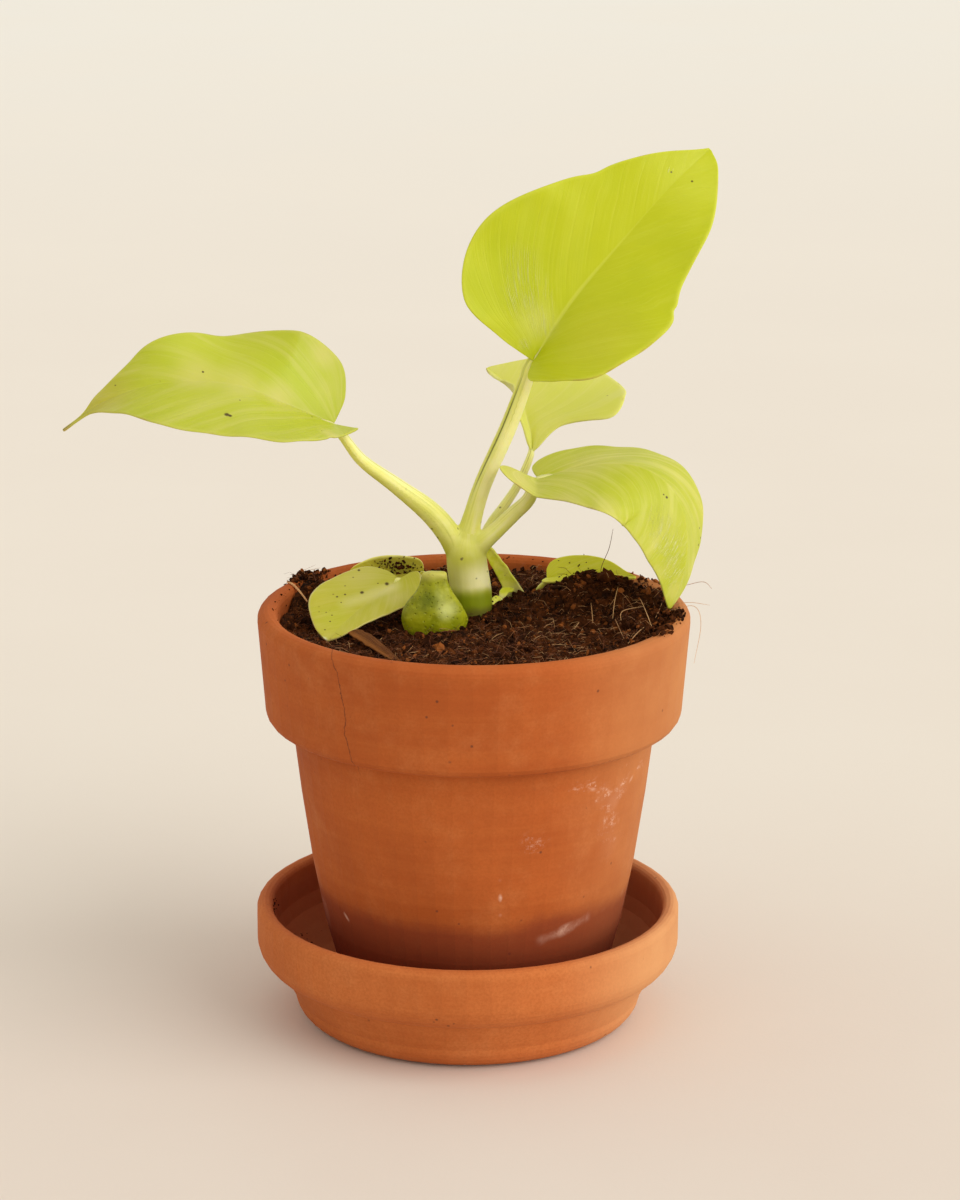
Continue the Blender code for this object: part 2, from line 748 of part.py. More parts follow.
def main():
    clear_scene()
    parts = make_collection("potted_philodendron_warszewiczii")
    cutters = make_collection("cutters")
    clay = make_material("clay", (0.52, 0.19, 0.09), 0.85)
    soil_finish = make_material("soil", (0.045, 0.022, 0.014), 1.0)
    blade_finish = make_material("leaf", (0.50, 0.58, 0.04), 0.45)
    stalk_finish = make_material("stalk", (0.62, 0.68, 0.20), 0.45)
    stump_finish = make_material("old leaf base", (0.30, 0.42, 0.05), 0.5)
    bark_finish = make_material("bark", (0.18, 0.09, 0.04), 0.9)

    make_saucer(parts, clay)
    make_pot(parts, clay)
    soil = make_soil(parts, soil_finish)
    stem_holes(soil, cutters, soil_finish)
    make_crown(parts, cutters, stalk_finish)
    make_stalks(parts, stalk_finish)
    make_blades(parts, blade_finish)
    make_old_leaf_base("old_leaf_base", parts, stump_finish)
    make_old_sheath(parts, stalk_finish)
    make_bark_strip("bark_strip", parts, bark_finish)


main()
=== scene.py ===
# %% [markdown]
# # A young philodendron in its clay pot
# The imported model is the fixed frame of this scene: every piece below lies where a solid of
# that frame lies. The pot and the saucer keep their own meshes and only get a finish. The
# plant and the soil are soft and full of fine shapes, so each gets a finer piece that stands
# in for its solid. This way the sizes stay those of the model, and the looks can be rich.

import json
import math

import bmesh
import bpy
import numpy as np
from mathutils import Euler, Matrix, Vector, noise

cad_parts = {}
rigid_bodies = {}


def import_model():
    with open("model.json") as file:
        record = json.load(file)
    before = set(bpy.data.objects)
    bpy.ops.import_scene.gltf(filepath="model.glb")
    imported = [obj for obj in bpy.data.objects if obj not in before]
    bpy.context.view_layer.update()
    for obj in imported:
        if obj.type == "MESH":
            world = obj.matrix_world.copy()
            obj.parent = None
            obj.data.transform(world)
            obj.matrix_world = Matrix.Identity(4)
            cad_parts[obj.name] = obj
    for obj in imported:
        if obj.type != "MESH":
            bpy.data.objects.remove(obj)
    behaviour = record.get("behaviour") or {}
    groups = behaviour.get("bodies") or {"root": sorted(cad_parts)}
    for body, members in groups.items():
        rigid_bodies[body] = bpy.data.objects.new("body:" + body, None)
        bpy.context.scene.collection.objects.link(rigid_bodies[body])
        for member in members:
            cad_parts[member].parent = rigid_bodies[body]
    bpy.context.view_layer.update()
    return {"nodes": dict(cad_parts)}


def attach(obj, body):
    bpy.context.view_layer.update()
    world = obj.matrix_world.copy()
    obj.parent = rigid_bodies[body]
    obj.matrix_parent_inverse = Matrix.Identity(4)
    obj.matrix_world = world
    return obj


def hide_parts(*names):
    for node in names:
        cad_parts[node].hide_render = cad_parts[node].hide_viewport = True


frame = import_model()
MM = 0.001
print("solids in the frame:", len(frame["nodes"]))


def new_object(name, data):
    """An object in the scene that shows the given mesh, curve, lamp or camera."""
    made = bpy.data.objects.new(name, data)
    bpy.context.scene.collection.objects.link(made)
    return made


# %% [markdown]
# ## The camera and the light
# The photograph was taken with a long lens, a little above the rim of the pot. A camera in
# Blender is placed by its position, its tilt and its focal length. These came from matching
# the outlines of the pot and the saucer, so that the render can be laid over the photograph.

# %% Place the camera
TILT_DOWN = 0.27199
ROLL = 0.00289
FOCAL_PIXELS = 3594.59

camera_data = bpy.data.cameras.new("camera")
camera_data.sensor_fit = "VERTICAL"
camera_data.sensor_height = 36.0
camera_data.lens = FOCAL_PIXELS / 1200 * 36.0
camera_data.clip_end = 60.0
camera = new_object("camera", camera_data)
turn = Euler((math.pi / 2 - TILT_DOWN, 0.0, 0.0)).to_matrix() @ Matrix.Rotation(ROLL, 3, "Z")
camera.matrix_world = Matrix.Translation((0.002921, -0.87889, 0.35521)) @ turn.to_4x4()
bpy.context.scene.camera = camera
print("focal length:", round(camera_data.lens, 1), "mm")

# %% [markdown]
# A studio softbox stands at the front right. Its light is soft, so the shadow on the floor
# has no hard edge. A sun lamp with a wide angle gives the same softness and lights a large
# floor evenly, and the pale surroundings fill the shadows.

# %% Light the scene
KEY_DIRECTION = Vector((-0.74, 0.42, -0.47))
KEY_STRENGTH = 1.80
FILL_STRENGTH = 0.78

key_data = bpy.data.lights.new("key", "SUN")
key_data.energy = KEY_STRENGTH
key_data.angle = math.radians(60)
key_data.color = (1.0, 0.975, 0.94)
key = new_object("key", key_data)
key.rotation_euler = KEY_DIRECTION.to_track_quat("-Z", "Y").to_euler()

surroundings = bpy.data.worlds.new("surroundings")
surroundings.use_nodes = True
backlight = surroundings.node_tree.nodes["Background"]
backlight.inputs["Color"].default_value = (1.0, 0.945, 0.865, 1.0)
backlight.inputs["Strength"].default_value = FILL_STRENGTH
bpy.context.scene.world = surroundings
bpy.context.scene.view_settings.view_transform = "Standard"

# %% [markdown]
# ## Nodes in few words
# Each finish below is made of nodes: small steps that turn a place on the surface into a
# colour or a height. The helpers here add the nodes, so that a finish reads as a recipe: a
# first colour, and layers of other tones over it, each with a share that says where it lies.
# All patterns are worked out from the place in the object, never from a picture.

# %% A finish and its nodes
class Field:
    """What a node gives out. Fields are added and multiplied like numbers."""

    def __init__(self, socket):
        self.socket = socket

    def __add__(self, other):
        return maths("ADD", self, other)

    def __sub__(self, other):
        return maths("SUBTRACT", self, other)

    def __mul__(self, other):
        return maths("MULTIPLY", self, other)

    def __truediv__(self, other):
        return maths("DIVIDE", self, other)


def start_finish(name):
    """A new material. The helpers below add nodes to the one that was started last."""
    global tree
    finish = bpy.data.materials.new(name)
    finish.use_nodes = True
    tree = finish.node_tree
    return finish


def put(socket, value):
    """Gives a socket a plain value, or links a field to it."""
    if isinstance(value, Field):
        tree.links.new(value.socket, socket)
    else:
        socket.default_value = (*value, 1.0) if socket.type == "RGBA" else value


def add(kind, inputs, **settings):
    """A node with its settings and inputs."""
    node = tree.nodes.new("ShaderNode" + kind)
    for key, value in settings.items():
        setattr(node, key, value)
    for key, value in inputs.items():
        put(node.inputs[key], value)
    return node


def field(kind, output, inputs, **settings):
    return Field(add(kind, inputs, **settings).outputs[output])


# %% Places, patterns and ranges
def place():
    """The place on the object, in metres."""
    return field("TexCoord", "Object", {})


def axis_of(vector, axis):
    return field("SeparateXYZ", axis, {0: vector})


def vectors(operation, a, b, output="Vector"):
    return field("VectorMath", output, {0: a, 1: b}, operation=operation)


def cloud(vector, scale, detail=3.0, rough=0.55, distortion=0.0):
    """A soft random pattern from 0 to 1."""
    inputs = {"Vector": vector, "Scale": scale, "Detail": detail, "Roughness": rough}
    return field("TexNoise", "Fac", {**inputs, "Distortion": distortion})


def dots(vector, scale):
    """The distance to the nearest of many scattered points."""
    return field("TexVoronoi", "Distance", {"Vector": vector, "Scale": scale})


def maths(operation, a, b=0.0):
    return field("Math", 0, {0: a, 1: b}, operation=operation)


def between(value, low, high, to_low=0.0, to_high=1.0):
    """A value carried smoothly from the range low..high to another range. With low above
    high it falls from 1 to 0 instead."""
    inputs = {"Value": value, "From Min": low, "From Max": high, "To Min": to_low}
    inputs["To Max"] = to_high
    return field("MapRange", "Result", inputs, interpolation_type="SMOOTHSTEP")


# %% Colours, gloss and relief
def blend(share, first, second):
    """Two colours mixed by a share from 0 to 1."""
    return field("Mix", 2, {0: share, 6: first, 7: second}, data_type="RGBA")


def ramp(value, *stops):
    """A row of colours, each with its position, that a value from 0 to 1 picks from."""
    node = add("ValToRGB", {"Fac": value})
    while len(node.color_ramp.elements) < len(stops):
        node.color_ramp.elements.new(0.5)
    for element, (position, colour) in zip(node.color_ramp.elements, stops):
        element.position, element.color = position, (*colour, 1)
    return Field(node.outputs["Color"])


def coat(colour, roughness, specular=0.5, scatter=0.0, reach=(1.0, 0.9, 0.2), depth=0.001):
    """The finish's colour and gloss, and how light scatters under its surface."""
    shader = tree.nodes["Principled BSDF"].inputs
    put(shader["Base Color"], colour)
    put(shader["Roughness"], roughness)
    put(shader["Specular IOR Level"], specular)
    put(shader["Subsurface Weight"], scatter)
    put(shader["Subsurface Radius"], reach)
    put(shader["Subsurface Scale"], depth)


def relief(height, depth, strength):
    """Makes the surface look raised where the height is large; depth is in metres."""
    inputs = {"Height": height, "Distance": depth, "Strength": strength}
    put(tree.nodes["Principled BSDF"].inputs["Normal"], field("Bump", "Normal", inputs))


# %% Kept numbers, spots and layers
def attribute(name):
    """A number that is kept at each point of the mesh."""
    return field("Attribute", "Fac", {}, attribute_name=name)


def spot(where, centre, radius, core=0.35):
    """1 close to a given place, in millimetres, and 0 away from it."""
    away = vectors("DISTANCE", where, [c * MM for c in centre], "Value")
    return between(away, radius * MM, radius * core * MM)


def layers(colour, *coats):
    """Tones laid over a colour one by one, each with its share from 0 to 1."""
    for share, tone in coats:
        colour = blend(share, colour, tone)
    return colour


def spots(where, places):
    """Layers of soft spots from their centres, radii, amounts and tones."""
    return [
        (spot(where, centre, radius, 0.0) * amount, tone)
        for centre, radius, amount, tone in places
    ]


def flecks(where, scale, inner, outer, spread, low, high):
    """Small scattered specks, kept only where a wide pattern lets them through."""
    speck = between(dots(where, scale), outer, inner)
    return speck * between(cloud(where, spread, 1.0), low, high)


# %% [markdown]
# ## The floor
# The real floor is a seamless sheet of cream paper. One wide disc with a slightly mottled
# matt finish is enough, because the camera looks down and never sees its far edge.

# %% Make the floor
floor_finish = start_finish("cream paper")
where = place()
distance = axis_of(where, "Y")
colour = layers(
    (0.745, 0.665, 0.590),
    # Painted light: the paper is painted darker and warmer near the pot, and paler and cooler far
    # back, for how the light falls on it
    (between(distance, -0.18, 0.25), (0.80, 0.745, 0.665)),
    (between(distance, 0.2, 2.6), (0.83, 0.82, 0.765)),
    (between(cloud(where, 5.0, 4.0), 0.35, 0.7) * 0.25, (0.84, 0.80, 0.72)),
)
coat(colour, 0.95)
relief(cloud(where, 900.0), 0.0002, 0.15)

shape = bmesh.new()
bmesh.ops.create_circle(shape, cap_ends=True, radius=14.0, segments=96)
floor_mesh = bpy.data.meshes.new("floor")
shape.to_mesh(floor_mesh)
shape.free()
floor_mesh.materials.append(floor_finish)
floor = new_object("floor", floor_mesh)
floor.location.z = -0.0002

# %% [markdown]
# ## Fired clay
# Pot and saucer are thrown in red clay and fired without a glaze. Their skin is matt and
# dusty, with faint rings from the thrower's hands, small dark grains, a darker damp foot and
# chalky white bloom where salts came out with the water. Rings and grains could be modelled,
# but they are flatter than a tenth of a millimetre, so a material is the better place.

# %% Tones and strokes for the clay
def toned(light, colour):
    """A colour made lighter or warmer by one factor for each channel."""
    return tuple(a * b for a, b in zip(light, colour))


def stroke(where, start, end, width):
    """1 along the line from one place to another, fading to 0 at its sides and its ends."""
    run = [(b - a) * MM for a, b in zip(start, end)]
    squared = sum(v * v for v in run)
    from_start = vectors("SUBTRACT", where, [v * MM for v in start])
    along = vectors("DOT_PRODUCT", from_start, [v / squared for v in run], "Value")
    inputs = {0: run, "Scale": between(along, 0.0, 1.0)}
    nearest = field("VectorMath", "Vector", inputs, operation="SCALE")
    away = vectors("DISTANCE", from_start, nearest, "Value")
    ends = between(along, -0.1, 0.3) * between(along, 1.1, 0.7)
    return between(away, width * MM, 0.0) * ends


# %% Finish for the clay
CHALK = (0.86, 0.56, 0.42)


def make_clay(name, light, damp_height, inside_colour=None, blooms=(), smears=(), crack=()):
    """The clay's finish. Its tones are multiplied by light; its foot is damp up to a height."""
    finish = start_finish(name)
    where = place()
    x, y, z = (axis_of(where, axis) for axis in "XYZ")
    blotch = cloud(where, 28.0, 5.0, 0.6)
    rings = cloud(vectors("MULTIPLY", where, (6.0, 6.0, 420.0)), 1.0, 4.0, 0.65)
    grain = cloud(where, 1400.0, 3.0, 0.7)
    # A painted sheen on the side towards the light, uneven like dust
    dust_and_lit_sheen = between(x, 0.018, 0.055) * between(blotch, 0.2, 0.7, 0.45, 0.85)
    edge = z + cloud(where, 45.0, 5.0, 0.6) * 0.009
    damp = [
        between(edge, (damp_height + low) * MM, (damp_height + high) * MM, share, 0.0)
        for low, high, share in ((0, 6, 0.64), (-14, 2, 0.55))
    ]
    colour = layers(
        toned(light, (0.40, 0.084, 0.0145)),
        (between(blotch, 0.3, 0.7), toned(light, (0.49, 0.118, 0.025))),
        # Faint rings, wide in the round and narrow in height
        (between(rings, 0.35, 0.75) * 0.22, toned(light, (0.57, 0.165, 0.036))),
        # Dusty haze and fine grain
        (between(cloud(where, 75.0, 6.0, 0.7), 0.45, 0.8) * 0.30, (0.66, 0.25, 0.085)),
        (between(grain, 0.35, 0.7) * 0.30, (0.34, 0.075, 0.012)),
        # Painted sheen: the side towards the light is painted paler, in an uneven dusty tone
        (dust_and_lit_sheen, toned(light, (0.60, 0.26, 0.090))),
        # Scattered dark grains
        (flecks(where, 230.0, 0.05, 0.12, 160.0, 0.52, 0.6) * 0.7, (0.10, 0.035, 0.02)),
        # The damp foot has a ragged upper edge
        (damp[0], (0.20, 0.030, 0.014)),
        (damp[1], (0.13, 0.020, 0.009)),
    )
    # Chalky bloom lies in soft streaks that break into flakes
    streaks = cloud(vectors("MULTIPLY", where, (90.0, 90.0, 330.0)), 1.0, 4.0, 0.6)
    broken = between(cloud(where, 620.0, 6.0, 0.8), 0.48, 0.62) * between(streaks, 0.46, 0.60)
    uneven = between(cloud(where, 330.0, 5.0, 0.7), 0.36, 0.60, 0.35, 1.0)
    for centre, radius, amount, solid in blooms:
        share = spot(where, centre, radius, 0.1) * (broken * (1.0 - solid) + solid)
        colour = blend(share * amount, colour, CHALK)
    for start, end, width, amount in smears:
        colour = blend(stroke(where, start, end, width) * uneven * amount, colour, CHALK)
    height = blotch * 0.6 + grain * 0.25 + rings * 0.5
    if crack:
        # A hairline crack runs down the front left, its x given for each height
        line = add("FloatCurve", {"Value": z / 0.12})
        points = line.mapping.curves[0].points
        points[0].location = (0.0, 0.5)
        points[1].location = (1.0, 0.5)
        for crack_x, crack_z in crack:
            points.new(crack_z / 120.0, 0.5 + crack_x / 200.0)
        line.mapping.update()
        wander = cloud(where, 260.0, 4.0, 0.7) * 0.0022 - 0.0011
        run = Field(line.outputs[0]) * 0.2 - 0.1
        thin = between(maths("ABSOLUTE", x - run + wander), 0.00016, 0.00002)
        low = min(z for _, z in crack)
        inside = thin * between(z, (low - 4) * MM, (low + 2) * MM) * between(y, -0.01, -0.02)
        colour = blend(inside * 0.75, colour, (0.13, 0.036, 0.016))
        height = inside * -0.7 + height
    if inside_colour:
        # Soil water has stained the inside
        axis = field("CombineXYZ", 0, {2: z})
        normal = field("NewGeometry", "True Normal", {})
        facing = vectors("DOT_PRODUCT", vectors("SUBTRACT", where, axis), normal, "Value")
        inner = between(facing - axis_of(normal, "Z") * 0.02, 0.004, -0.012)
        inner = inner * between(z, 0.024, 0.0295, 1.0, 0.15)
        colour = blend(inner * 0.6, colour, inside_colour)
    coat(colour, between(blotch, 0.3, 0.7, 0.72, 0.88), 0.18)
    relief(height, 0.00022, 0.55)
    return finish


# %% Finish the pot and the saucer
# Each: its place, its radius, how strong it is, and how much of it is smooth
POT_BLOOMS = (
    ((27, -38, 72), 3, 0.5, 0), ((31, -35, 71.5), 4, 0.8, 0), ((34, -31.5, 68.5), 4.5, 0.9, 0.05),
    ((36.5, -28, 66), 4, 0.9, 0.1), ((38.6, -25.6, 69), 4, 0.9, 0.05), ((43, -18, 72), 4, 0.6, 0),
    ((39.3, -25.5, 72), 4, 0.5, 0), ((35.5, -28.5, 60), 6, 0.5, 0.05), ((36, -26, 54), 6, 0.3, 0.1),
    ((16.7, -41.3, 59.5), 5, 0.35, 0), ((-36.5, -8, 40), 6, 0.4, 0.2),
    ((-36, -10, 30), 5, 0.4, 0.2),
)
# Each: where a rubbed smear starts and ends, half its width and how strong it is
SMEARS = (
    ((18, -36.3, 31.6), (30.5, -27.6, 35.2), 2.3, 0.75),
    ((27, -30.7, 34.4), (39.5, -13, 36.5), 1.8, 0.4), ((8.1, -42.3, 50), (8.2, -40.5, 40), 0.7, 1),
    ((-31.4, -22.8, 34.2), (-30, -24.2, 32.2), 0.8, 0.7),
    ((26.5, -38.5, 72.8), (35.5, -30.5, 69.5), 0.8, 0.35),
    ((38.5, -26.5, 66.5), (43.5, -17.5, 73), 0.8, 0.4),
)
CRACK = ((-31.9, 111), (-31.5, 102.4), (-30.1, 94.1), (-29.9, 89.6), (-29, 83.8), (-27.1, 78))

pot_clay = make_clay("clay of the pot", (1.0, 1.0, 1.0), 38.5, None, POT_BLOOMS, SMEARS, CRACK)
saucer_clay = make_clay("clay of the saucer", (1.20, 1.46, 1.82), -20.0, (0.50, 0.140, 0.060))
for node_name, clay in (("pot", pot_clay), ("saucer", saucer_clay)):
    for slot in frame["nodes"][node_name].material_slots:
        slot.material = clay

# %% [markdown]
# ## Helpers for shapes
# Stalks, midribs and fibres all follow smooth lines through a few given points. A spline
# that passes through its points is easier to fit to a photograph than one that is pulled by
# handles. Sizes are written in millimetres here and become metres when a mesh is made.

# %% Smooth lines and meshes
def smooth_line(points, count):
    """Points on a smooth line through the given ones."""
    given = np.asarray(points, float)
    if given.ndim == 1:
        given = given[:, None]
    ends = np.vstack([2 * given[0] - given[1], given, 2 * given[-1] - given[-2]])
    along = np.linspace(0, len(given) - 1, count)
    first = np.minimum(along.astype(int), len(given) - 2)
    t = (along - first)[:, None]
    a, b, c, d = ends[first], ends[first + 1], ends[first + 2], ends[first + 3]
    return 0.5 * (
        2 * b + (c - a) * t + (2 * a - 5 * b + 4 * c - d) * t**2 + (3 * b - a - 3 * c + d) * t**3
    )


def unit(arrows):
    """Arrows of the same directions, one unit long."""
    return arrows / np.linalg.norm(arrows, axis=-1, keepdims=True)


def make_piece(name, points, faces, finishes, smooth=True):
    """A mesh piece from points in millimetres, placed in the frame."""
    mesh = bpy.data.meshes.new(name)
    mesh.from_pydata((np.asarray(points) * MM).tolist(), [], faces)
    for finish in finishes:
        mesh.materials.append(finish)
    if smooth:
        mesh.shade_smooth()
    return new_object(name, mesh)


def grid_faces(rows, columns, round_about=False):
    """The faces between rows of points; they can close into a ring."""
    faces = []
    for i in range(rows - 1):
        for j in range(columns if round_about else columns - 1):
            k = (j + 1) % columns
            a, b = i * columns, (i + 1) * columns
            faces.append((a + j, a + k, b + k, b + j))
    return faces


def thicken(piece, thickness, offset=0):
    """Gives a sheet its thickness and rounds it."""
    solid = piece.modifiers.new("thickness", "SOLIDIFY")
    solid.thickness = thickness * MM
    solid.offset = 0.0
    solid.material_offset = offset
    rounding = piece.modifiers.new("rounding", "SUBSURF")
    rounding.levels = rounding.render_levels = 1
    return piece


def keep_number(piece, name, values):
    """Keeps a number at each point of a mesh, for its finish to read."""
    layer = piece.data.attributes.new(name, "FLOAT", "POINT")
    layer.data.foreach_set("value", np.asarray(values, np.float32).ravel())


def settle(piece, slot_name, *nodes):
    """Lets a piece ride on the body, and stand for the solids that it replaces."""
    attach(piece, "root")
    if nodes:
        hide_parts(*nodes)
    piece.data.calc_loop_triangles()
    print(piece.name, "has", len(piece.data.loop_triangles), "triangles before its modifiers")


# %% [markdown]
# ## Potting soil
# The soil is dark peat: crumbs of every size, wood fibres and fine roots. A bumpy surface
# alone looks like rubber, and a heap of crumbs alone has holes in it. So one rough surface
# fills the pot, and thousands of loose crumbs and fibres, all real meshes, lie on it.

# %% Finish for the soil
CRUMB_TONES = (
    (0.0, (0.006, 0.002, 0.0008)), (0.8, (0.115, 0.030, 0.006)), (1.0, (0.56, 0.17, 0.036)),
)


def make_soil_finish(name, tinted):
    """Dark peat with pale grains. Where it is tinted, each crumb has a tone of its own."""
    finish = start_finish(name)
    where = place()
    coarse = cloud(where, 260.0, 6.0, 0.75)
    fine = cloud(where, 1500.0, 5.0, 0.8)
    colour = layers(
        (0.006, 0.0018, 0.0006),
        (between(coarse, 0.35, 0.7), (0.125, 0.034, 0.007)),
        (between(fine, 0.54, 0.70) * 0.75, (0.34, 0.105, 0.024)),
    )
    if tinted:
        colour = blend(0.65, colour, ramp(attribute("tint"), *CRUMB_TONES))
    coat(colour, 0.95, 0.1)
    relief(coarse + fine * 0.5, 0.0012, 0.9)
    return finish


soil_finish = make_soil_finish("peat soil", False)
crumb_finish = make_soil_finish("peat crumbs", True)

# %% [markdown]
# The surface follows the same level and heaps as the solid soil, with more and finer noise.
# It is built ring by ring out to the wall, then down the wall and over the pot's floor, so
# that it closes into one body.

# %% The soil's surface
SOIL_LEVEL = 104.2
POT_CENTRE_X = 1.4
SOIL_RADIUS = 49.2
# Each heap: centre x, centre y, height, spread along x, spread along y
SOIL_HEAPS = (
    (30, 9, 9, 8.6, 6), (43, 4, 3, 8, 10), (48, -4, 2.6, 8, 15), (3, 7, 2.4, 8, 6),
    (-42, 22, 4.6, 4, 4.5), (10, 34, 1.6, 22, 12), (-32, -12, -2.8, 12, 15),
)


# Noise on it, from large clods to crumbs: how high, how wide, how much finer, its offset
SOIL_NOISE = (
    (0.9, 7.0, 1.0, (0.0, 0.0, 0.0)), (0.45, 7.0, 2.3, (5.0, 2.0, 1.0)),
    (1.4, 2.6, 1.0, (0.0, 0.0, 3.0)), (0.8, 1.0, 1.0, (0.0, 0.0, 7.0)),
)


def soil_height(x, y):
    """The height of the soil's surface: its level, heaps, clods and crumbs."""
    height = SOIL_LEVEL
    for cx, cy, rise, spread_x, spread_y in SOIL_HEAPS:
        height += rise * math.exp(-(((x - cx) / spread_x) ** 2 + ((y - cy) / spread_y) ** 2) / 2)
    for rise, width, finer, offset in SOIL_NOISE:
        height += rise * noise.noise(Vector((x / width, y / width, 0.0)) * finer + Vector(offset))
    return height


SOIL_RINGS, SOIL_SECTORS = 84, 300
# Below the surface: the radius and height of the rings down the wall to the pot's floor
WALL = ((49.0, 100.0), (47.9, 84.2), (40.7, 76.2), (36.0, 42.0), (29.3, 13.9))
angles = np.linspace(0, 2 * math.pi, SOIL_SECTORS, endpoint=False)
points = [(POT_CENTRE_X, 0.0, soil_height(POT_CENTRE_X, 0.0))]
rings = [(SOIL_RADIUS * ring / SOIL_RINGS, None) for ring in range(1, SOIL_RINGS + 1)]
for radius, z in [*rings, *WALL]:
    for angle in angles:
        x, y = POT_CENTRE_X + radius * math.cos(angle), radius * math.sin(angle)
        points.append((x, y, z or soil_height(x, y)))
points.append((POT_CENTRE_X, 0.0, WALL[-1][1]))
between_rings = grid_faces(SOIL_RINGS + len(WALL), SOIL_SECTORS, True)
faces = [(1 + a, 1 + d, 1 + c, 1 + b) for a, b, c, d in between_rings]
last = len(points) - 1 - SOIL_SECTORS
for i in range(SOIL_SECTORS):
    j = (i + 1) % SOIL_SECTORS
    faces += [(0, 1 + i, 1 + j), (last + i, len(points) - 1, last + j)]
soil_piece = make_piece("soil_body", points, faces, [soil_finish])
settle(soil_piece, "soil", "soil")

# %% [markdown]
# A crumb is a small ball whose points are pushed in and out at random. All the crumbs are
# joined into one mesh with numpy arrays, which is much faster than one object per crumb.
# Each crumb keeps a tint, so that no two neighbours look alike.

# %% Loose crumbs
chance = np.random.default_rng(7)


def ball(divisions):
    """The points and faces of a round ball."""
    shape = bmesh.new()
    bmesh.ops.create_icosphere(shape, subdivisions=divisions, radius=1.0)
    points = np.array([v.co[:] for v in shape.verts])
    faces = np.array([[v.index for v in f.verts] for f in shape.faces])
    shape.free()
    return points, faces


def crumbs(name, places, sizes, divisions, tints):
    """Many rough crumbs as one piece: their centres and sizes are in millimetres."""
    base, base_faces = ball(divisions)
    all_points, all_faces, all_tints = [], [], []
    for i, (centre, size, tint) in enumerate(zip(places, sizes, tints)):
        rough = base * chance.uniform(0.5, 1.3, (len(base), 1))
        spin = np.array(Euler(chance.uniform(0, 6.28, 3)).to_matrix())
        rough = (rough * size * chance.uniform(0.4, 1.4, 3)) @ spin
        all_points.append(rough + centre)
        all_faces.append(base_faces + i * len(base))
        all_tints.append(np.full(len(base), tint))
    faces = np.vstack(all_faces).tolist()
    piece = make_piece(name, np.vstack(all_points), faces, [crumb_finish], False)
    keep_number(piece, "tint", np.concatenate(all_tints))
    settle(piece, "soil")


# %% Scatter crumbs over the soil
def scatter_on_soil(count, biggest, smallest, reach=48.3):
    """Places and sizes for crumbs all over the soil."""
    sizes = smallest + (biggest - smallest) * chance.random(count) ** 3.2
    angle = chance.uniform(0, 2 * math.pi, count)
    radius = (reach - sizes) * np.sqrt(chance.random(count))
    x, y = POT_CENTRE_X + radius * np.cos(angle), radius * np.sin(angle)
    z = [soil_height(a, b) for a, b in zip(x, y)]
    return np.stack([x, y, np.array(z) + sizes * chance.uniform(-0.3, 0.55, count)], -1), sizes


places, sizes = scatter_on_soil(8600, 0.85, 0.22)
crumbs("soil_crumbs_small", places, sizes, 1, chance.random(len(sizes)))
places, sizes = scatter_on_soil(330, 1.7, 0.6)
crumbs("soil_crumbs_large", places, sizes, 2, chance.random(len(sizes)) ** 1.5)

# %% [markdown]
# Some soil has spilled: a dark clump sticks up at the back left of the rim, and a little lies
# on the rim at the right.

# %% Heaps of crumbs
RIM_TOP, RIM_INNER, RIM_MIDDLE, RIM_OUTER = 108.4, 49.4, 52.4, 54.4
LIP_RADIUS = 2.6


def ground_height(x, y):
    """What a crumb lies on: the soil inside the pot, or the round lip of its rim."""
    out = math.hypot(x - POT_CENTRE_X, y)
    if out < RIM_INNER:
        return soil_height(x, y)
    across = min(1.0, abs(out - RIM_MIDDLE) / LIP_RADIUS)
    return RIM_TOP - LIP_RADIUS * (1 - math.sqrt(1 - across**2))


def crumb_size(smallest, biggest):
    """A random size. Small crumbs come up more often than big ones."""
    return smallest + (biggest - smallest) * chance.random() ** 2


def heap(x, y, spread_x, spread_y, rise, count, biggest):
    """Crumbs that lie on each other in a low heap."""
    places, sizes = [], []
    while len(places) < count:
        a, b = chance.normal(0, 1, 2)
        cx, cy = x + a * spread_x, y + b * spread_y
        if math.hypot(cx - POT_CENTRE_X, cy) > RIM_OUTER or a * a + b * b > 5:
            continue
        size = crumb_size(0.22, biggest)
        top = rise * math.exp(-(a * a + b * b) / 2)
        places.append((cx, cy, ground_height(cx, cy) + size * 0.3 + chance.random() * top))
        sizes.append(size)
    return places, sizes


# Each: x, y, spread along x and y, rise, number of crumbs, biggest size
HEAPS = (
    (-42, 26.5, 3.4, 2.4, 2, 420, 0.75), (-45, 26.5, 1.4, 1.6, 1.2, 90, 0.6),
    (-36, 31.5, 3.4, 2, 1, 130, 0.8), (48.5, -9, 2.6, 5, 1.2, 220, 0.9),
    (53, -5.5, 1, 2.2, 0.5, 70, 0.5), (45, -20, 3, 4.5, 1.4, 150, 1.1),
    (33, 9.5, 9, 4.6, 0.7, 560, 1), (41, 20, 6, 6, 0.6, 260, 1), (19, 18, 9, 4, 1.2, 150, 1.1),
    (2, -3, 7, 2.5, 1, 120, 0.9),
)
places, sizes = (sum(lists, []) for lists in zip(*(heap(*each) for each in HEAPS)))
crumbs("heaped_crumbs", places, sizes, 1, chance.random(len(sizes)))

# %% [markdown]
# Fibres are thin bent tubes. Three sides are enough for the thousands of short brown ones
# that lie in the peat. Six make the few straw coloured ones round that curl out of it on the
# right, and the hairs that hang over the rim.

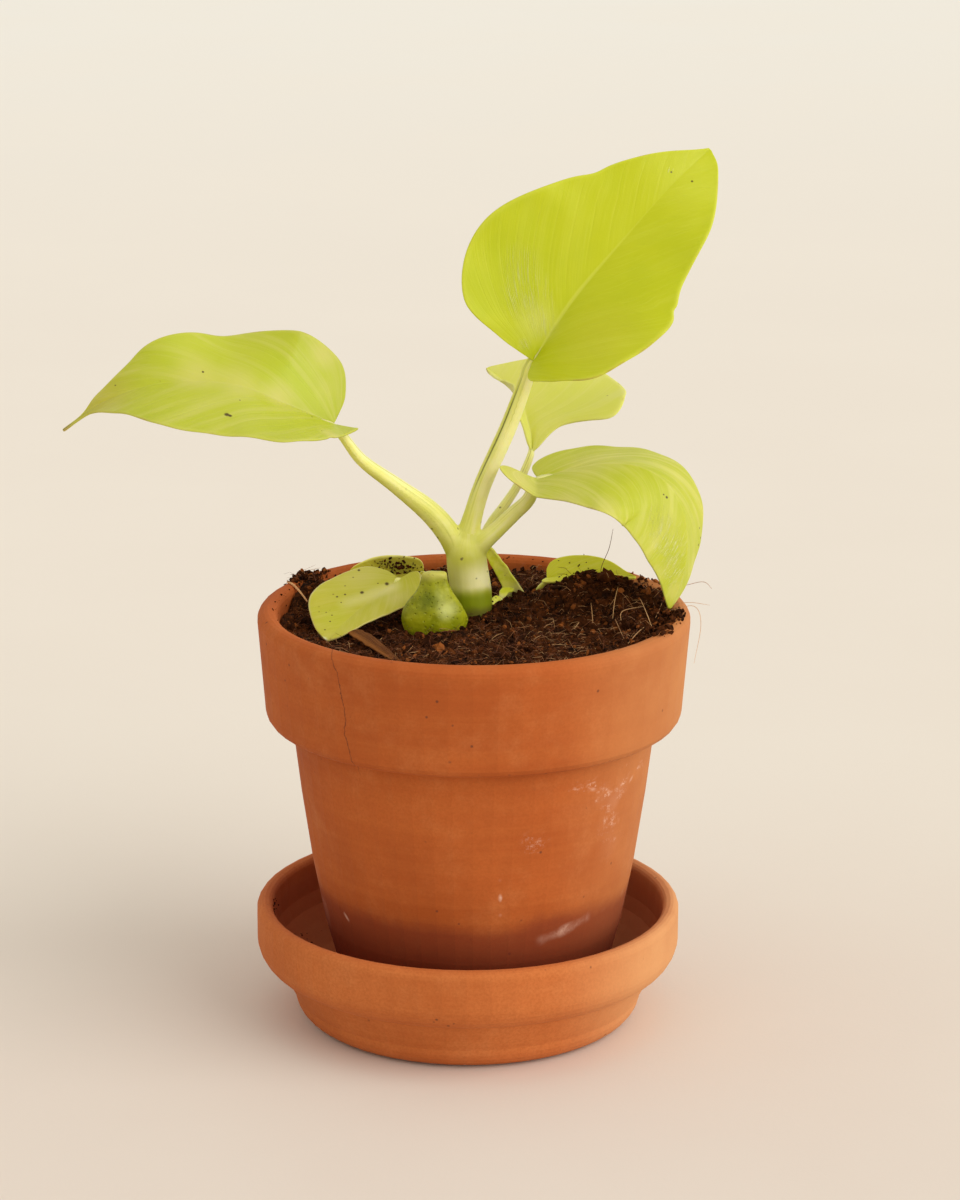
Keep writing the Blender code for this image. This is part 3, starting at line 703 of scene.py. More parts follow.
# %% Thin tubes
def tubes(name, lines, widths, tints, finish, sides):
    """Many thin tubes as one piece. Each line is a row of points in millimetres."""
    all_points, all_faces, all_tints, first = [], [], [], 0
    for line, width, tint in zip(lines, widths, tints):
        line = np.asarray(line)
        ahead = unit(np.gradient(line, axis=0))
        helper = np.where(np.abs(ahead[:, 2:]) < 0.9, [[0, 0, 1.0]], [[1.0, 0, 0]])
        across = unit(np.cross(ahead, helper))
        over = np.cross(ahead, across)
        taper = np.sin(np.linspace(0.25, math.pi - 0.25, len(line)))[:, None] ** 0.5
        for k in range(sides):
            angle = 2 * math.pi * k / sides
            ring = line + (across * math.cos(angle) + over * math.sin(angle)) * width * taper
            all_points.append(ring)
        count = len(line)
        for k in range(sides):
            a, b = first + k * count, first + ((k + 1) % sides) * count
            all_faces += [(a + i, a + i + 1, b + i + 1, b + i) for i in range(count - 1)]
        all_faces.append([first + k * count for k in range(sides)][::-1])
        all_faces.append([first + k * count + count - 1 for k in range(sides)])
        all_tints.append(np.full(count * sides, tint))
        first += count * sides
    piece = make_piece(name, np.vstack(all_points), all_faces, [finish])
    keep_number(piece, "tint", np.concatenate(all_tints))
    settle(piece, "soil")


# %% Finish for the fibres
fibre_finish = start_finish("plant fibre")
tones = ((0.0, (0.050, 0.016, 0.006)), (0.5, (0.30, 0.078, 0.018)), (1.0, (1.0, 0.58, 0.25)))
streak = cloud(place(), 2400.0, 3.0, 0.7)
tone = ramp(attribute("tint"), *tones)
coat(blend(between(streak, 0.3, 0.7, 0.6, 1.0), (0.05, 0.02, 0.01), tone), 0.75)
relief(streak, 0.0001, 0.6)

# %% Fibres in the peat
def bent_fibre(start, length, rise):
    """A stiff fibre with a kink, that starts at a point and lies on the soil."""
    heading = chance.uniform(0, 2 * math.pi)
    climbs = (rise, rise * chance.uniform(-0.9, 0.5))
    line, where = [np.array(start, float)], np.array(start, float)
    for climb in climbs:
        heading += chance.normal(0, 0.35)
        piece_length = length / 2 * chance.uniform(0.5, 1.4)
        for _ in range(2):
            bend_a_little = heading + chance.normal(0, 0.08)
            step = np.array([math.cos(bend_a_little), math.sin(bend_a_little), climb])
            where = where + step * piece_length / 2
            line.append(where)
    return line


lines, widths, tints = [], [], []
places, _ = scatter_on_soil(5200, 0.6, 0.3, 46.5)
hairy, _ = heap(-42.0, 26.5, 3.4, 2.2, 2.4, 90, 0.5)
for start in [*places, *map(np.array, hairy)]:
    length = 0.9 + 4.2 * chance.random() ** 2.2
    lines.append(bent_fibre(start + (0, 0, 0.1), length, chance.uniform(-0.1, 0.9)))
    widths.append(chance.uniform(0.022, 0.065))
    pale = chance.random() < (0.30 if start[0] > 15 else 0.12)
    tints.append(chance.uniform(0.6, 1.0) if pale else chance.uniform(0.1, 0.6))
tubes("soil_fibres", lines, widths, tints, fibre_finish, 3)

# %% Straw fibres, hairs over the rim and a pale root
# Each: the points of its line, half its width, and its tint from dark to straw
SINGLE_FIBRES = (
    (((38, 2.8, 112.9), (37, -2, 110.2), (36.4, -7, 107.2)), 0.09, 0.95),
    (((43.5, -1.2, 110.8), (44.3, -6.2, 110.1), (46.3, -17.5, 106.8)), 0.08, 1),
    (((38.4, -10.3, 107.1), (38.9, -6.3, 109), (44.4, -4.6, 109.9)), 0.08, 0.9),
    (((31.1, 0.3, 109.3), (31.3, -3.6, 107.7), (31.4, -7.8, 105.9)), 0.09, 0.8),
    (((38.2, 1.9, 112.3), (40, -1.5, 111.2), (41.5, -4.3, 109.6)), 0.07, 0.6),
    (((37, -7.5, 107.3), (37.7, -14, 107), (38.8, -20.2, 105.8)), 0.1, 0.75),
    (((44, -14.4, 107.2), (42, -19.1, 106.9), (39.6, -23.6, 105.5)), 0.1, 0.85),
    (((29.8, -3, 106.8), (28.2, -6.3, 106.3), (26.6, -8.9, 105.1)), 0.08, 0.95),
    (((49, -1.7, 109.9), (48.2, -6.5, 109.6), (46.9, -10.7, 108.3)), 0.08, 0.7),
    (((34.3, -15.2, 105.6), (36, -13.9, 106.6), (37.5, -12.4, 106.5)), 0.1, 0.8),
    (((42.5, -27.1, 105.5), (38, -29.5, 105.9), (32.5, -31.2, 104.9)), 0.09, 0.7),
    (((34, 11, 111.5), (34, 11, 115.7), (35.9, 11, 120.8), (36.9, 11, 126)), 0.09, 0.35),
    (((49, 24, 107), (55.6, 24, 107.4), (60.8, 21, 109.3), (63, 19, 108)), 0.07, 0.7),
    (((50, 1, 108.6), (56, 0, 109.6), (61.3, 0, 108.9)), 0.06, 0.8),
    (((51, -4, 108.6), (57, -5, 110), (58.6, -8, 106), (56.8, -12, 97)), 0.07, 0.85),
    (((-35.6, -10.1, 102.3), (-35.75, -10.3, 101.6), (-35.9, -10.5, 101)), 0.15, 1),
    (((-47.2, 21.4, 108.8), (-45.8, 20.4, 108.5), (-43.8, 18, 107.2), (-41.6, 14, 105.6)),
     0.34, 0.85),
)
lines, widths, tints = zip(*SINGLE_FIBRES)
lines = [smooth_line(line, 22) for line in lines]
tubes("straw_and_root", lines, widths, tints, fibre_finish, 6)

# %% [markdown]
# ## The leaf blades
# A blade is a thin heart-shaped sheet with a fold along its midrib. It could be sculpted by
# hand, but then its outline would drift from the solid. Here the midrib is a smooth line in
# space, each half has its own edge and its own angle to the fold, and rows of points run from
# the midrib to the edge just as the veins do. The numbers are those of the solid blades.

# %% The blades in numbers
def half(margin, fold, lift=0.0):
    """One half of a blade: its edge as distances along and out from the midrib, its angle to
    the blade's mean plane from base to tip, and how steeply its lobe rises."""
    return {"margin": margin, "fold": fold, "lift": lift}


# Each blade: its midrib from base to tip, the way its upper face looks, and its two halves
BLADES = {
    "tall": {
        "midrib": (
            (16, 4, 171.1), (26.2, 6, 186.8), (40.3, 10, 203), (50.1, 14, 213.5), (60.3, 20, 222.1),
        ),
        "facing": ((-0.25, -1, 0.3), (0, -1, 0.4)),
        "left": half(
            ((0.8, 11.5), (4.4, 23.4), (19.4, 29.7), (37.8, 21.9), (56.4, 10.4), (67, 2.6)),
            (31, 17, 12, 8, 8),
        ),
        "right": half(
            ((-1.2, 0.6), (-3.7, 1.9), (-4.3, 3.8), (-3, 6.9), (0.2, 13.2), (7.3, 21.3),
             (27.1, 24.9), (39, 19.2), (55.3, 14.7), (67.2, 5.8)),
            (38, 16, 9, 8, 7), 0.38,
        ),
        "notch": 0.6,
    },
    "left": {
        "midrib": (
            (-33.7, -2, 156.2), (-45.4, -6, 162.1), (-58.8, -9, 167.8), (-76, -12, 168.4),
            (-89.5, -14, 164.3), (-99.9, -15, 157.2),
        ),
        "facing": ((0, -0.65, 1), (0, -0.65, 1), (-0.3, -0.4, 1)),
        "left": half(
            ((-5.1, 2.3), (12.6, 21.6), (22.6, 22.6), (46.4, 18.5), (58, 8.2), (64, 2),
             (67.6, 0.5)),
            (28, 24, 10, 9, 9, 10), 0.6,
        ),
        "right": half(
            ((-1.1, 8.8), (3.2, 17.2), (18.1, 19.9), (44, 12.7), (53, 7.8), (62, 3.4), (66.6, 0.6)),
            (25, 21, -1, 20, 8, 18),
        ),
        "notch": 1.75,
    },
    "right": {
        "midrib": (
            (17.5, 4, 141), (26, 3, 143.6), (35, 1.8, 145.4), (44, 0, 144.6), (51, -2, 139.6),
            (54.6, -4, 130.5), (54.3, -5.6, 120.5), (50.6, -7, 109.9),
        ),
        "facing": (
            (0, -0.35, 1), (0.1, -0.4, 1), (0.45, -0.5, 0.85), (0.8, -0.6, 0.5), (1, -0.7, 0.2),
        ),
        "left": half(
            ((-1.4, 5.7), (4.2, 10), (17.5, 14), (44.5, 14.2), (57.1, 7), (64.3, 3.5)),
            (3, -17, -15, -19, -12),
        ),
        "right": half(
            ((-3, 1), (-5.9, 3), (-7.1, 6), (-5.6, 8.5), (-1.5, 9.8), (4.4, 13.4), (18, 21.2),
             (37, 19.4), (54.2, 13.4), (64, 4.5)),
            (5, 2, -12, -15, -12), 1.67,
        ),
        "notch": 1.1,
    },
    "back": {
        "midrib": ((16.2, 22, 143.2), (15.7, 27, 148.2), (12.2, 38, 155), (4.6, 48, 160)),
        "facing": ((0.2, -0.8, 1), (0.2, -0.8, 1)),
        "left": half(((5, 2.8), (13, 6.8), (22, 5.4), (31, 1.8)), (25, 66, 20)),
        "right": half(
            ((5.5, 7.9), (4.6, 22.6), (9.8, 26.7), (20.2, 22.3), (27.6, 12), (32.3, 4.4)),
            (34, 14, 8),
        ),
        "notch": 1.2,
        "crowding": 0.9,
    },
    "low_front": {
        "midrib": ((-17.8, 9, 113.1), (-23.8, 4, 109.9), (-29.5, -2, 106.3), (-35.7, -10.2, 102.2)),
        "facing": ((-0.3, -1, 1), (-0.3, -1, 1)),
        "left": half(
            ((-2.8, 0.8), (-4.5, 2.8), (-2.2, 5.9), (1.5, 8.4), (6.5, 9.7), (17.6, 5.7),
             (25.3, 2.4)),
            (11, 12, 5), 0.27,
        ),
        "right": half(
            ((0, 5), (3.1, 9.8), (12.6, 13.5), (19.4, 12.3), (25.8, 6), (28, 2.2)),
            (-8, 0, 4),
        ),
        "notch": 0.7,
    },
    "low_rear": {
        "midrib": ((-11.7, 25, 110.6), (-18, 26, 109.8), (-24.5, 26, 109.5), (-31, 26, 110.6)),
        "facing": ((0, -0.3, 1), (0, -0.3, 1)),
        "left": half(((-1.6, 2.6), (1.6, 4.3), (5.7, 4.6), (12.6, 3.3), (17.4, 1.4)), (11, 11, 10)),
        "right": half(((0.4, 2.8), (2.4, 4.3), (7.7, 5.3), (13.8, 5), (17.9, 2.4)), (39, 41, 31)),
        "notch": 1.2,
    },
    "low_side": {
        "midrib": ((20.3, 21, 110.2), (27.5, 20, 111.6), (35.1, 17, 112.6), (43, 12.5, 112.6)),
        "facing": ((0, -0.3, 1), (0, -0.3, 1)),
        "left": half(((0.2, 2.6), (2.2, 4.6), (6.8, 5.2), (14.4, 4.2), (21.4, 1.4)), (40, 40, 30)),
        "right": half(((-1.2, 2.4), (1.8, 4.4), (9.2, 5.2), (17, 4.6), (22.3, 1.8)), (13, 13, 7)),
        "notch": 1.2,
    },
}

# %% Build a blade's surface
LINE_POINTS = 160
FOLD_STEPS = np.linspace(0, 1, 101)


class Midrib:
    """The line that a blade is built on, with the blade's direction and face along it."""

    def __init__(self, blade):
        self.points = smooth_line(blade["midrib"], LINE_POINTS)
        steps = np.linalg.norm(np.diff(self.points, axis=0), axis=1)
        self.run = np.concatenate([[0], np.cumsum(steps)])
        self.length = self.run[-1]
        self.ahead = unit(np.gradient(self.points, axis=0))
        facing = unit(smooth_line(blade["facing"], LINE_POINTS))
        along = (facing * self.ahead).sum(axis=1, keepdims=True)
        self.face = unit(facing - along * self.ahead)

    def read(self, values, distance):
        """What the given values are at distances along the line."""
        at = np.clip(distance, 0, self.length)
        return np.stack([np.interp(at, self.run, values[:, i]) for i in range(3)], -1)


def blade_edge(part, length, notch, rows):
    """One half's edge from beside the midrib's base, round the lobe and to the tip."""
    edge = smooth_line(((0.0, 0.0), *part["margin"], (length, 0.35)), 500)
    edge = edge[np.argmax(edge[:, 1] >= notch) :]
    run = np.concatenate([[0], np.cumsum(np.linalg.norm(np.diff(edge, axis=0), axis=1))])
    places = np.linspace(0, run[-1], rows + 1)
    return np.stack([np.interp(places, run, edge[:, i]) for i in range(2)], -1)


def bend(midrib, part, side, along, out):
    """Where a point of the flat blade comes to lie, from its distances along and out."""
    ahead = unit(midrib.read(midrib.ahead, along))
    face = unit(midrib.read(midrib.face, along))
    across = np.cross(ahead, face) * side
    back = np.minimum(along, 0.0)
    share = np.clip(along / midrib.length, 0.0, 1.0)
    fold_angles = smooth_line(part["fold"], len(FOLD_STEPS))[:, 0]
    fold = np.radians(np.interp(share, FOLD_STEPS, fold_angles))
    rise = out * np.sin(fold) + part["lift"] * back**2 / (2.0 - back)
    return (
        midrib.read(midrib.points, along)
        + ahead * back[..., None]
        + across * (out * np.cos(fold))[..., None]
        + face * rise[..., None]
    )


# %% [markdown]
# Between the veins a real blade swells up a little, and its edge waves. Both are added along
# the blade's own normal, with the veins as valleys. The numbers that place a vein are kept at
# each point, so that the colour and the relief of the finish follow the same veins.

# %% Blade with veins and waves
VEIN_BEND = 1.1


def make_blade(name, blade, finishes, rows, columns, veins, swell, wave, seed, nicks=()):
    """A blade as a grid: rows along the midrib, columns from edge to edge."""
    midrib = Midrib(blade)
    crowding = blade.get("crowding", 1.35)
    start = midrib.length * np.linspace(0, 1, rows + 1) ** crowding
    share = np.linspace(0, 1, columns + 1) ** 1.25
    row_share = np.linspace(0, 1, rows + 1)[:, None]
    halves, numbers = [], []
    for which, side in (("left", -1), ("right", 1)):
        edge = blade_edge(blade[which], midrib.length, blade["notch"], rows)
        for half_name, at, depth, wide in nicks:
            if half_name == which:
                edge[:, 1] -= depth * np.exp(-(((row_share[:, 0] - at) / wide) ** 2))
        along = start[:, None] * (1 - share) + edge[:, :1] * share
        out = edge[:, 1:] * share
        halves.append(bend(midrib, blade[which], side, along, out))
        vein = row_share - VEIN_BEND * share[None, :] ** 1.1 * (1 - row_share)
        numbers.append(np.stack(np.broadcast_arrays(vein, side * share[None, :], row_share), -1))
    grid = np.concatenate([halves[0][:, ::-1], halves[1][:, 1:]], axis=1)
    number = np.concatenate([numbers[0][:, ::-1], numbers[1][:, 1:]], axis=1)
    down, right = np.gradient(grid, axis=0), np.gradient(grid, axis=1)
    normal = unit(np.cross(right, down))
    vein, across, row = number[..., 0], number[..., 1], number[..., 2]
    width = np.abs(across)
    fade = np.sin(np.pi * np.clip(width, 0, 1)) ** 0.7 * np.clip((1 - row) * 6, 0, 1)
    raised = -np.abs(np.cos(np.pi * veins * vein)) ** 6 * swell * fade
    raised += -0.35 * np.exp(-((width * 9) ** 2)) * (1 - row)
    phase = 2 * np.pi * (2.6 * row + 0.37 * seed) + np.sign(across) * 0.9
    raised += wave * width**2.2 * np.sin(phase) * np.sin(np.pi * row)
    raised += 0.4 * wave * width**4 * np.sin(3.1 * phase + 1.3) * np.sin(np.pi * row)
    grid = grid + normal * raised[..., None]
    piece = make_piece(name, grid.reshape(-1, 3), grid_faces(*grid.shape[:2]), finishes)
    for kind, values in (("vein", vein), ("across", across), ("row", row)):
        keep_number(piece, kind, values)
    return thicken(piece, 0.55, 1)


# %% [markdown]
# The young blades are yellow green and let light through, so the finish scatters light under
# the surface. Pale veins arch from the midrib to the edge. Broad paler bands lie between
# them, and small brown specks sit where insects and drops of water left them.

# %% Finish for the blades
def along_veins(vein, across, along, wide):
    """A place that is long beside the veins and short across them, for streaks."""
    return field("CombineXYZ", 0, {0: vein * along, 1: across * wide})


def make_leaf_finish(name, look, under=False):
    """The upper face of a blade, or its paler and duller underside."""
    finish = start_finish(name)
    where = place()
    vein, across, row = (attribute(part) for part in ("vein", "across", "row"))
    width = maths("ABSOLUTE", across)
    pale, shade = look["pale"], look["shade"]
    patch = cloud(where, 45.0, 4.0, 0.6)
    # Bands and fine lines run with the veins
    band = cloud(along_veins(vein, across, 9.0, 0.8), 1.0, 3.0, 0.55, 0.2)
    hair = cloud(along_veins(vein, across, 75.0, 2.0), 1.0, 3.0, 0.65)
    dark_hair = cloud(along_veins(vein, across, 48.0, 1.5), 1.0, 2.0, 0.5)
    # Main veins
    wander = cloud(where, 120.0, 2.0) * 0.012 - 0.006
    phase = (vein + wander) * (math.pi * look["veins"])
    crest = maths("POWER", maths("ABSOLUTE", maths("COSINE", phase)), 60.0)
    crest = crest * (between(width, 0.02, 0.15) * between(width, 0.7, 1.0, 1.0, 0.1))
    # The midrib is a pale line that fades towards the tip
    rib = between(width / (row * -0.030 + 0.040), 1.0, 0.25)
    rib = rib * between(row, 0.25, 0.85, look["rib_share"], 0.12)
    # The edge is thin, so it shines paler, and here and there it has dried. On the low rear
    # leaf its wide pale edge is painted light, the curled rim lit from above
    thin = between(width, look["edge"][0], 1.0) * look["edge"][1]
    dry = between(width, 0.97, 1.0) * between(cloud(where, 90.0, 3.0), 0.56, 0.66) * 0.55
    colour = layers(
        look["ground"],
        (between(patch, 0.36, 0.66), shade),
        # Patches of the blade's own tones, with some painted shade and highlights among them
        *spots(where, look["patches"]),
        (between(band, 0.45, 0.72) * look["bands"], pale),
        (between(hair, 0.48, 0.75) * 0.16, pale),
        (between(dark_hair, 0.55, 0.75) * 0.16, shade),
        (crest * look["vein_share"], pale),
        (rib, pale),
        (thin, pale),
        (dry, (0.42, 0.28, 0.07)),
        # Tiny scattered specks
        (flecks(where, 150.0, 0.025, 0.055, 120.0, 0.60, 0.66) * 0.6, (0.20, 0.12, 0.02)),
    )
    # The few larger specks that the photograph shows
    for centre, radius in look["specks"]:
        colour = blend(spot(where, centre, radius * 0.85) * 0.95, colour, (0.060, 0.030, 0.004))
    # Painted gloss highlights: fine pale lines in a few places, where light shines on ripples,
    # raised a little
    gloss_highlight_lines = between(cloud(along_veins(vein, across, 130.0, 5.0), 1.0, 4.0, 0.7), 0.5, 0.66)
    height = hair * 0.5
    for centre, radius, amount in look["ripples"]:
        near = spot(where, centre, radius, 0.1) * gloss_highlight_lines
        colour = blend(near * (0.2 * amount if under else amount), colour, (0.84, 0.86, 0.52))
        height = near * 1.2 + height
    if under:
        colour = blend(0.4, colour, look["under"])
    rough = 0.52 if under else 0.40
    rough = between(patch, 0.3, 0.7, rough - 0.06, rough + 0.06)
    coat(colour, rough, 0.30, 0.35, (1.0, 0.9, 0.15), 0.0012)
    height = height + dots(where, 2600.0) * 0.10 + crest * (0.6 if under else -0.25)
    relief(height, 0.00016, 0.6)
    return finish


# %% Each blade's own tones
def look(ground, shade, pale, under, bands, veins, vein_share, rib_share, edge=(0.93, 0.35)):
    """Four tones of a blade, and how strong its bands, veins, midrib and edge are."""
    return {
        "ground": ground, "shade": shade, "pale": pale, "under": under, "bands": bands,
        "veins": veins, "vein_share": vein_share, "rib_share": rib_share, "edge": edge,
    }


LOOKS = {
    "tall": look(
        (0.515, 0.565, 0.005), (0.48, 0.54, 0.003), (0.66, 0.70, 0.085), (0.62, 0.68, 0.14),
        0.14, 9, 0.05, 0.6,
    ),
    "left": look(
        (0.455, 0.50, 0.030), (0.42, 0.475, 0.018), (0.56, 0.55, 0.14), (0.56, 0.60, 0.14),
        0.45, 9, 0.07, 0.35,
    ),
    "right": look(
        (0.51, 0.54, 0.034), (0.45, 0.50, 0.018), (0.68, 0.65, 0.19), (0.58, 0.62, 0.14),
        0.50, 9, 0.16, 0.35,
    ),
    "back": look(
        (0.72, 0.73, 0.150), (0.68, 0.71, 0.110), (0.80, 0.78, 0.30), (0.68, 0.72, 0.22),
        0.30, 7, 0.20, 0.5,
    ),
    "low_front": look(
        (0.52, 0.50, 0.045), (0.48, 0.475, 0.026), (0.68, 0.61, 0.21), (0.58, 0.62, 0.16),
        0.20, 7, 0.02, 0.10, (0.94, 0.8),
    ),
    # Its wide pale edge is painted light: the curled rim lit from above
    "low_rear": look(
        (0.54, 0.48, 0.008), (0.34, 0.29, 0.003), (0.95, 0.90, 0.26), (0.54, 0.48, 0.008),
        0.08, 6, 0.02, 0.05, (0.80, 0.95),
    ),
    "low_side": look(
        (0.82, 0.82, 0.060), (0.76, 0.78, 0.040), (0.86, 0.84, 0.18), (0.72, 0.74, 0.12),
        0.3, 6, 0.25, 0.4,
    ),
}

# %% Patches, gloss and specks, where the photograph has them
CREAM = (0.62, 0.57, 0.17)
# A painted highlight on the low front leaf: a soft pale streak along a fold above its midrib
FOLD_HIGHLIGHT = (
    (-19.3, 6.2, 112), (-21.1, 5.4, 111.4), (-23.1, 4.7, 110.8), (-25.1, 3.9, 110.2),
    (-27.1, 3, 109.7), (-29.2, 2.5, 109.3), (-31.2, 1.5, 108.8),
)
# Each patch: centre, radius, amount and tone. Most are the blades' own tones; some are painted
# light and shade
TONE_PATCHES_AND_PAINTED_LIGHT = {
    "tall": (
        # On the tall blade the large darker patch is painted shade on its lower half, and the small
        # pale one near its base is a painted highlight
        ((34, -4, 178), 17, 0.55, (0.49, 0.50, 0.022)), ((17, 4, 181), 8, 0.5, (0.68, 0.70, 0.16)),
        ((56, 13, 214), 13, 0.35, (0.60, 0.64, 0.06)),
    ),
    "left": (
        ((-43, -2, 169), 15, 0.8, (0.44, 0.52, 0.016)),
        ((-75, -7, 174), 8, 0.5, (0.45, 0.51, 0.025)),
        ((-57, -8, 167.5), 9, 0.5, CREAM), ((-67, -9, 170), 9, 0.5, CREAM),
        ((-47, -6.5, 164), 7, 0.6, CREAM), ((-36, 4, 173), 6, 0.55, CREAM),
        ((-34, -1, 166), 5, 0.4, CREAM), ((-92, -13, 164.5), 15, 0.7, (0.46, 0.40, 0.050)),
        ((-99, -15, 157.5), 3.5, 0.8, (0.26, 0.17, 0.06)),
        ((-48, -19, 157), 13, 0.6, (0.46, 0.52, 0.022)), ((-34, -14, 156), 5, 0.6, CREAM),
    ),
    "right": (
        ((13, -2, 142), 9, 0.75, CREAM), ((24, -13, 141), 8, 0.55, CREAM),
        ((30, 3, 145), 12, 0.35, CREAM), ((34, -16, 138.5), 7, 0.45, CREAM),
        ((50, -8, 118), 14, 0.55, (0.50, 0.56, 0.022)), ((22, 7, 144), 7, 0.5, (0.50, 0.54, 0.030)),
    ),
    "low_front": (
        ((-28, 10, 114), 8, 0.45, CREAM), ((-18.5, 2, 110), 5, 0.5, CREAM),
        ((-34, -3, 107), 7, 0.4, (0.50, 0.54, 0.030)),
        ((-37, 2, 109), 4, 0.35, (0.54, 0.50, 0.050)),
        ((-36.5, -10.5, 102.8), 1.6, 1.0, (0.90, 0.90, 0.78)),
        # The soft pale streak is a painted highlight along a fold
        *((at, 3.4, 0.36 - 0.03 * i, (0.86, 0.80, 0.42)) for i, at in enumerate(FOLD_HIGHLIGHT)),
    ),
}
# Each painted gloss highlight on ripples: centre, radius and amount
GLOSS_HIGHLIGHTS = {
    "tall": (
        ((14.5, 5, 187), 9, 0.45), ((12.5, 5.6, 195), 7, 0.25), ((14, 3.2, 175.6), 2.2, 0.9),
        ((18.5, 4.2, 180), 5, 0.3), ((50.1, 15.2, 217.5), 1.2, 0.6),
    ),
    "right": (
        ((50.4, -8.3, 127), 8, 0.75), ((51.8, -7.7, 120), 6, 0.7), ((47.8, -8.8, 133), 6, 0.4),
    ),
}
# Each speck: centre and radius
SPECKS = {
    "tall": (((55.6, 14.3, 214.9), 0.5), ((50.4, 15.2, 217), 0.4)),
    "left": (
        ((-59, -21.5, 163), 1.1), ((-58.2, -21.7, 162.7), 0.8), ((-65.7, -8.2, 170.7), 0.5),
        ((-87.2, -11.2, 168), 0.5), ((-45.1, -7.5, 162.2), 0.45), ((-38.9, -6.6, 159.2), 0.55),
        ((-36.1, -14.5, 157.5), 0.45), ((-56.2, -14.8, 165.1), 0.35), ((-42, -7, 161), 0.4),
    ),
    "right": (
        ((49.7, -4.4, 138.2), 0.6), ((48.9, -4.4, 138.9), 0.4), ((58.7, 5.1, 127.8), 0.5),
        ((59, 5.2, 125.2), 0.5), ((58.4, 3.4, 123.8), 0.55), ((58.9, 4.6, 126.4), 0.4),
    ),
    "low_front": (
        ((-28.2, 12.1, 114.6), 0.6), ((-29.6, 9.8, 113.4), 0.45), ((-20.9, 7.4, 112.4), 0.95),
        ((-27.2, 4.9, 110.7), 0.85), ((-33.5, 3.7, 109.7), 0.55), ((-31.5, 4.4, 110.2), 0.5),
        ((-32.4, 1.9, 108.7), 0.4), ((-38, 0.5, 107.8), 0.6), ((-37, 1, 108), 0.55),
        ((-35.2, -0.6, 107.3), 0.35), ((-36.1, -1.3, 106.9), 0.5), ((-34.6, -2.2, 106.5), 0.4),
        ((-37.9, -1.2, 107), 0.5), ((-35, -4.3, 105.5), 0.4), ((-23.2, 7.6, 112.4), 0.4),
        ((-31.6, 7.2, 111.8), 0.35), ((-35.2, 0.7, 107.9), 0.35), ((-36.2, -7.1, 104.1), 0.4),
    ),
}
for name, tones in LOOKS.items():
    for kind, places in (("patches", TONE_PATCHES_AND_PAINTED_LIGHT), ("ripples", GLOSS_HIGHLIGHTS), ("specks", SPECKS)):
        tones[kind] = places.get(name, ())

# %% Make the blades
# Each: rows, columns, how far the blade swells between its veins, and how far its edge waves
BLADE_BUILD = {
    "tall": (110, 24, 0.015, 0.45), "left": (110, 22, 0.04, 0.35), "right": (110, 22, 0.07, 0.35),
    "back": (80, 18, 0.05, 0.25), "low_front": (60, 16, 0.01, 0.2),
    "low_rear": (50, 12, 0.01, 0.12), "low_side": (50, 12, 0.04, 0.12),
}
# Small nicks and dips in an edge: which half, how far round it, how deep and how wide
NICKS = {
    "tall": (("right", 0.53, 0.9, 0.012), ("left", 0.70, 0.9, 0.035)),
    "left": (("left", 0.16, 0.7, 0.012),),
}

for seed, (name, (rows, columns, swell, wave)) in enumerate(BLADE_BUILD.items()):
    upper = make_leaf_finish("blade " + name, LOOKS[name])
    lower = make_leaf_finish("underside " + name, LOOKS[name], under=True)
    blade = make_blade(
        "blade_" + name, BLADES[name], [upper, lower], rows, columns, LOOKS[name]["veins"],
        swell, wave, seed, NICKS.get(name, ()),
    )
    settle(blade, "leaf", "leaf_" + name)

# %% [markdown]
# A few crumbs have fallen on the low leaves, on the rim and into the saucer. Each is let down
# along a line until it touches what carries it, so that none of them floats.

# %% Let a crumb down
bpy.context.view_layer.update()
graph = bpy.context.evaluated_depsgraph_get()
pot, saucer = frame["nodes"]["pot"], frame["nodes"]["saucer"]
low_blades = [bpy.data.objects["blade_low_" + name] for name in ("front", "rear", "side")]
places, sizes = [], []
DOWN = (0.0, 0.0, -1.0)


def let_down(carriers, start, heading, size):
    """Moves a crumb from a place in millimetres along a line until it lies on a piece."""
    touched = []
    for piece in carriers:
        back = piece.matrix_world.inverted()
        origin, line = back @ (Vector(start) * MM), back.to_3x3() @ Vector(heading)
        hit, where, *_ = piece.ray_cast(origin, line, depsgraph=graph)
        if hit:
            touched.append(piece.matrix_world @ where / MM)
    if touched:
        nearest = min(touched, key=lambda where: (where - Vector(start)).length)
        places.append(np.array(nearest - Vector(heading) * size * 0.3))
        sizes.append(size)


# %% Crumbs on the leaves, on the rim and in the saucer
# Each: x, y, height to fall from, spread along x and y, number, biggest size
ON_LEAVES = (
    (-22.5, 27, 116, 1.3, 0.5, 30, 0.5), (-19.5, 26.7, 116, 1.6, 0.6, 46, 0.6),
    (-16.5, 26.4, 116, 1.4, 0.5, 34, 0.55), (-14.2, 25.2, 116, 0.9, 0.5, 16, 0.4),
    (27, 20.5, 118, 3, 1.2, 14, 0.35),
)
for x, y, top, spread_x, spread_y, count, biggest in ON_LEAVES:
    for _ in range(count):
        start = (chance.normal(x, spread_x), chance.normal(y, spread_y), top)
        let_down([*low_blades, soil_piece], start, DOWN, crumb_size(0.18, biggest))
# Fine grains that have stayed on the inner edge of the rim
for _ in range(150):
    angle, radius = chance.uniform(0, 2 * math.pi), chance.uniform(49.6, 51.2)
    start = (POT_CENTRE_X + radius * math.cos(angle), radius * math.sin(angle), 112.0)
    let_down([pot, soil_piece], start, DOWN, crumb_size(0.10, 0.34))
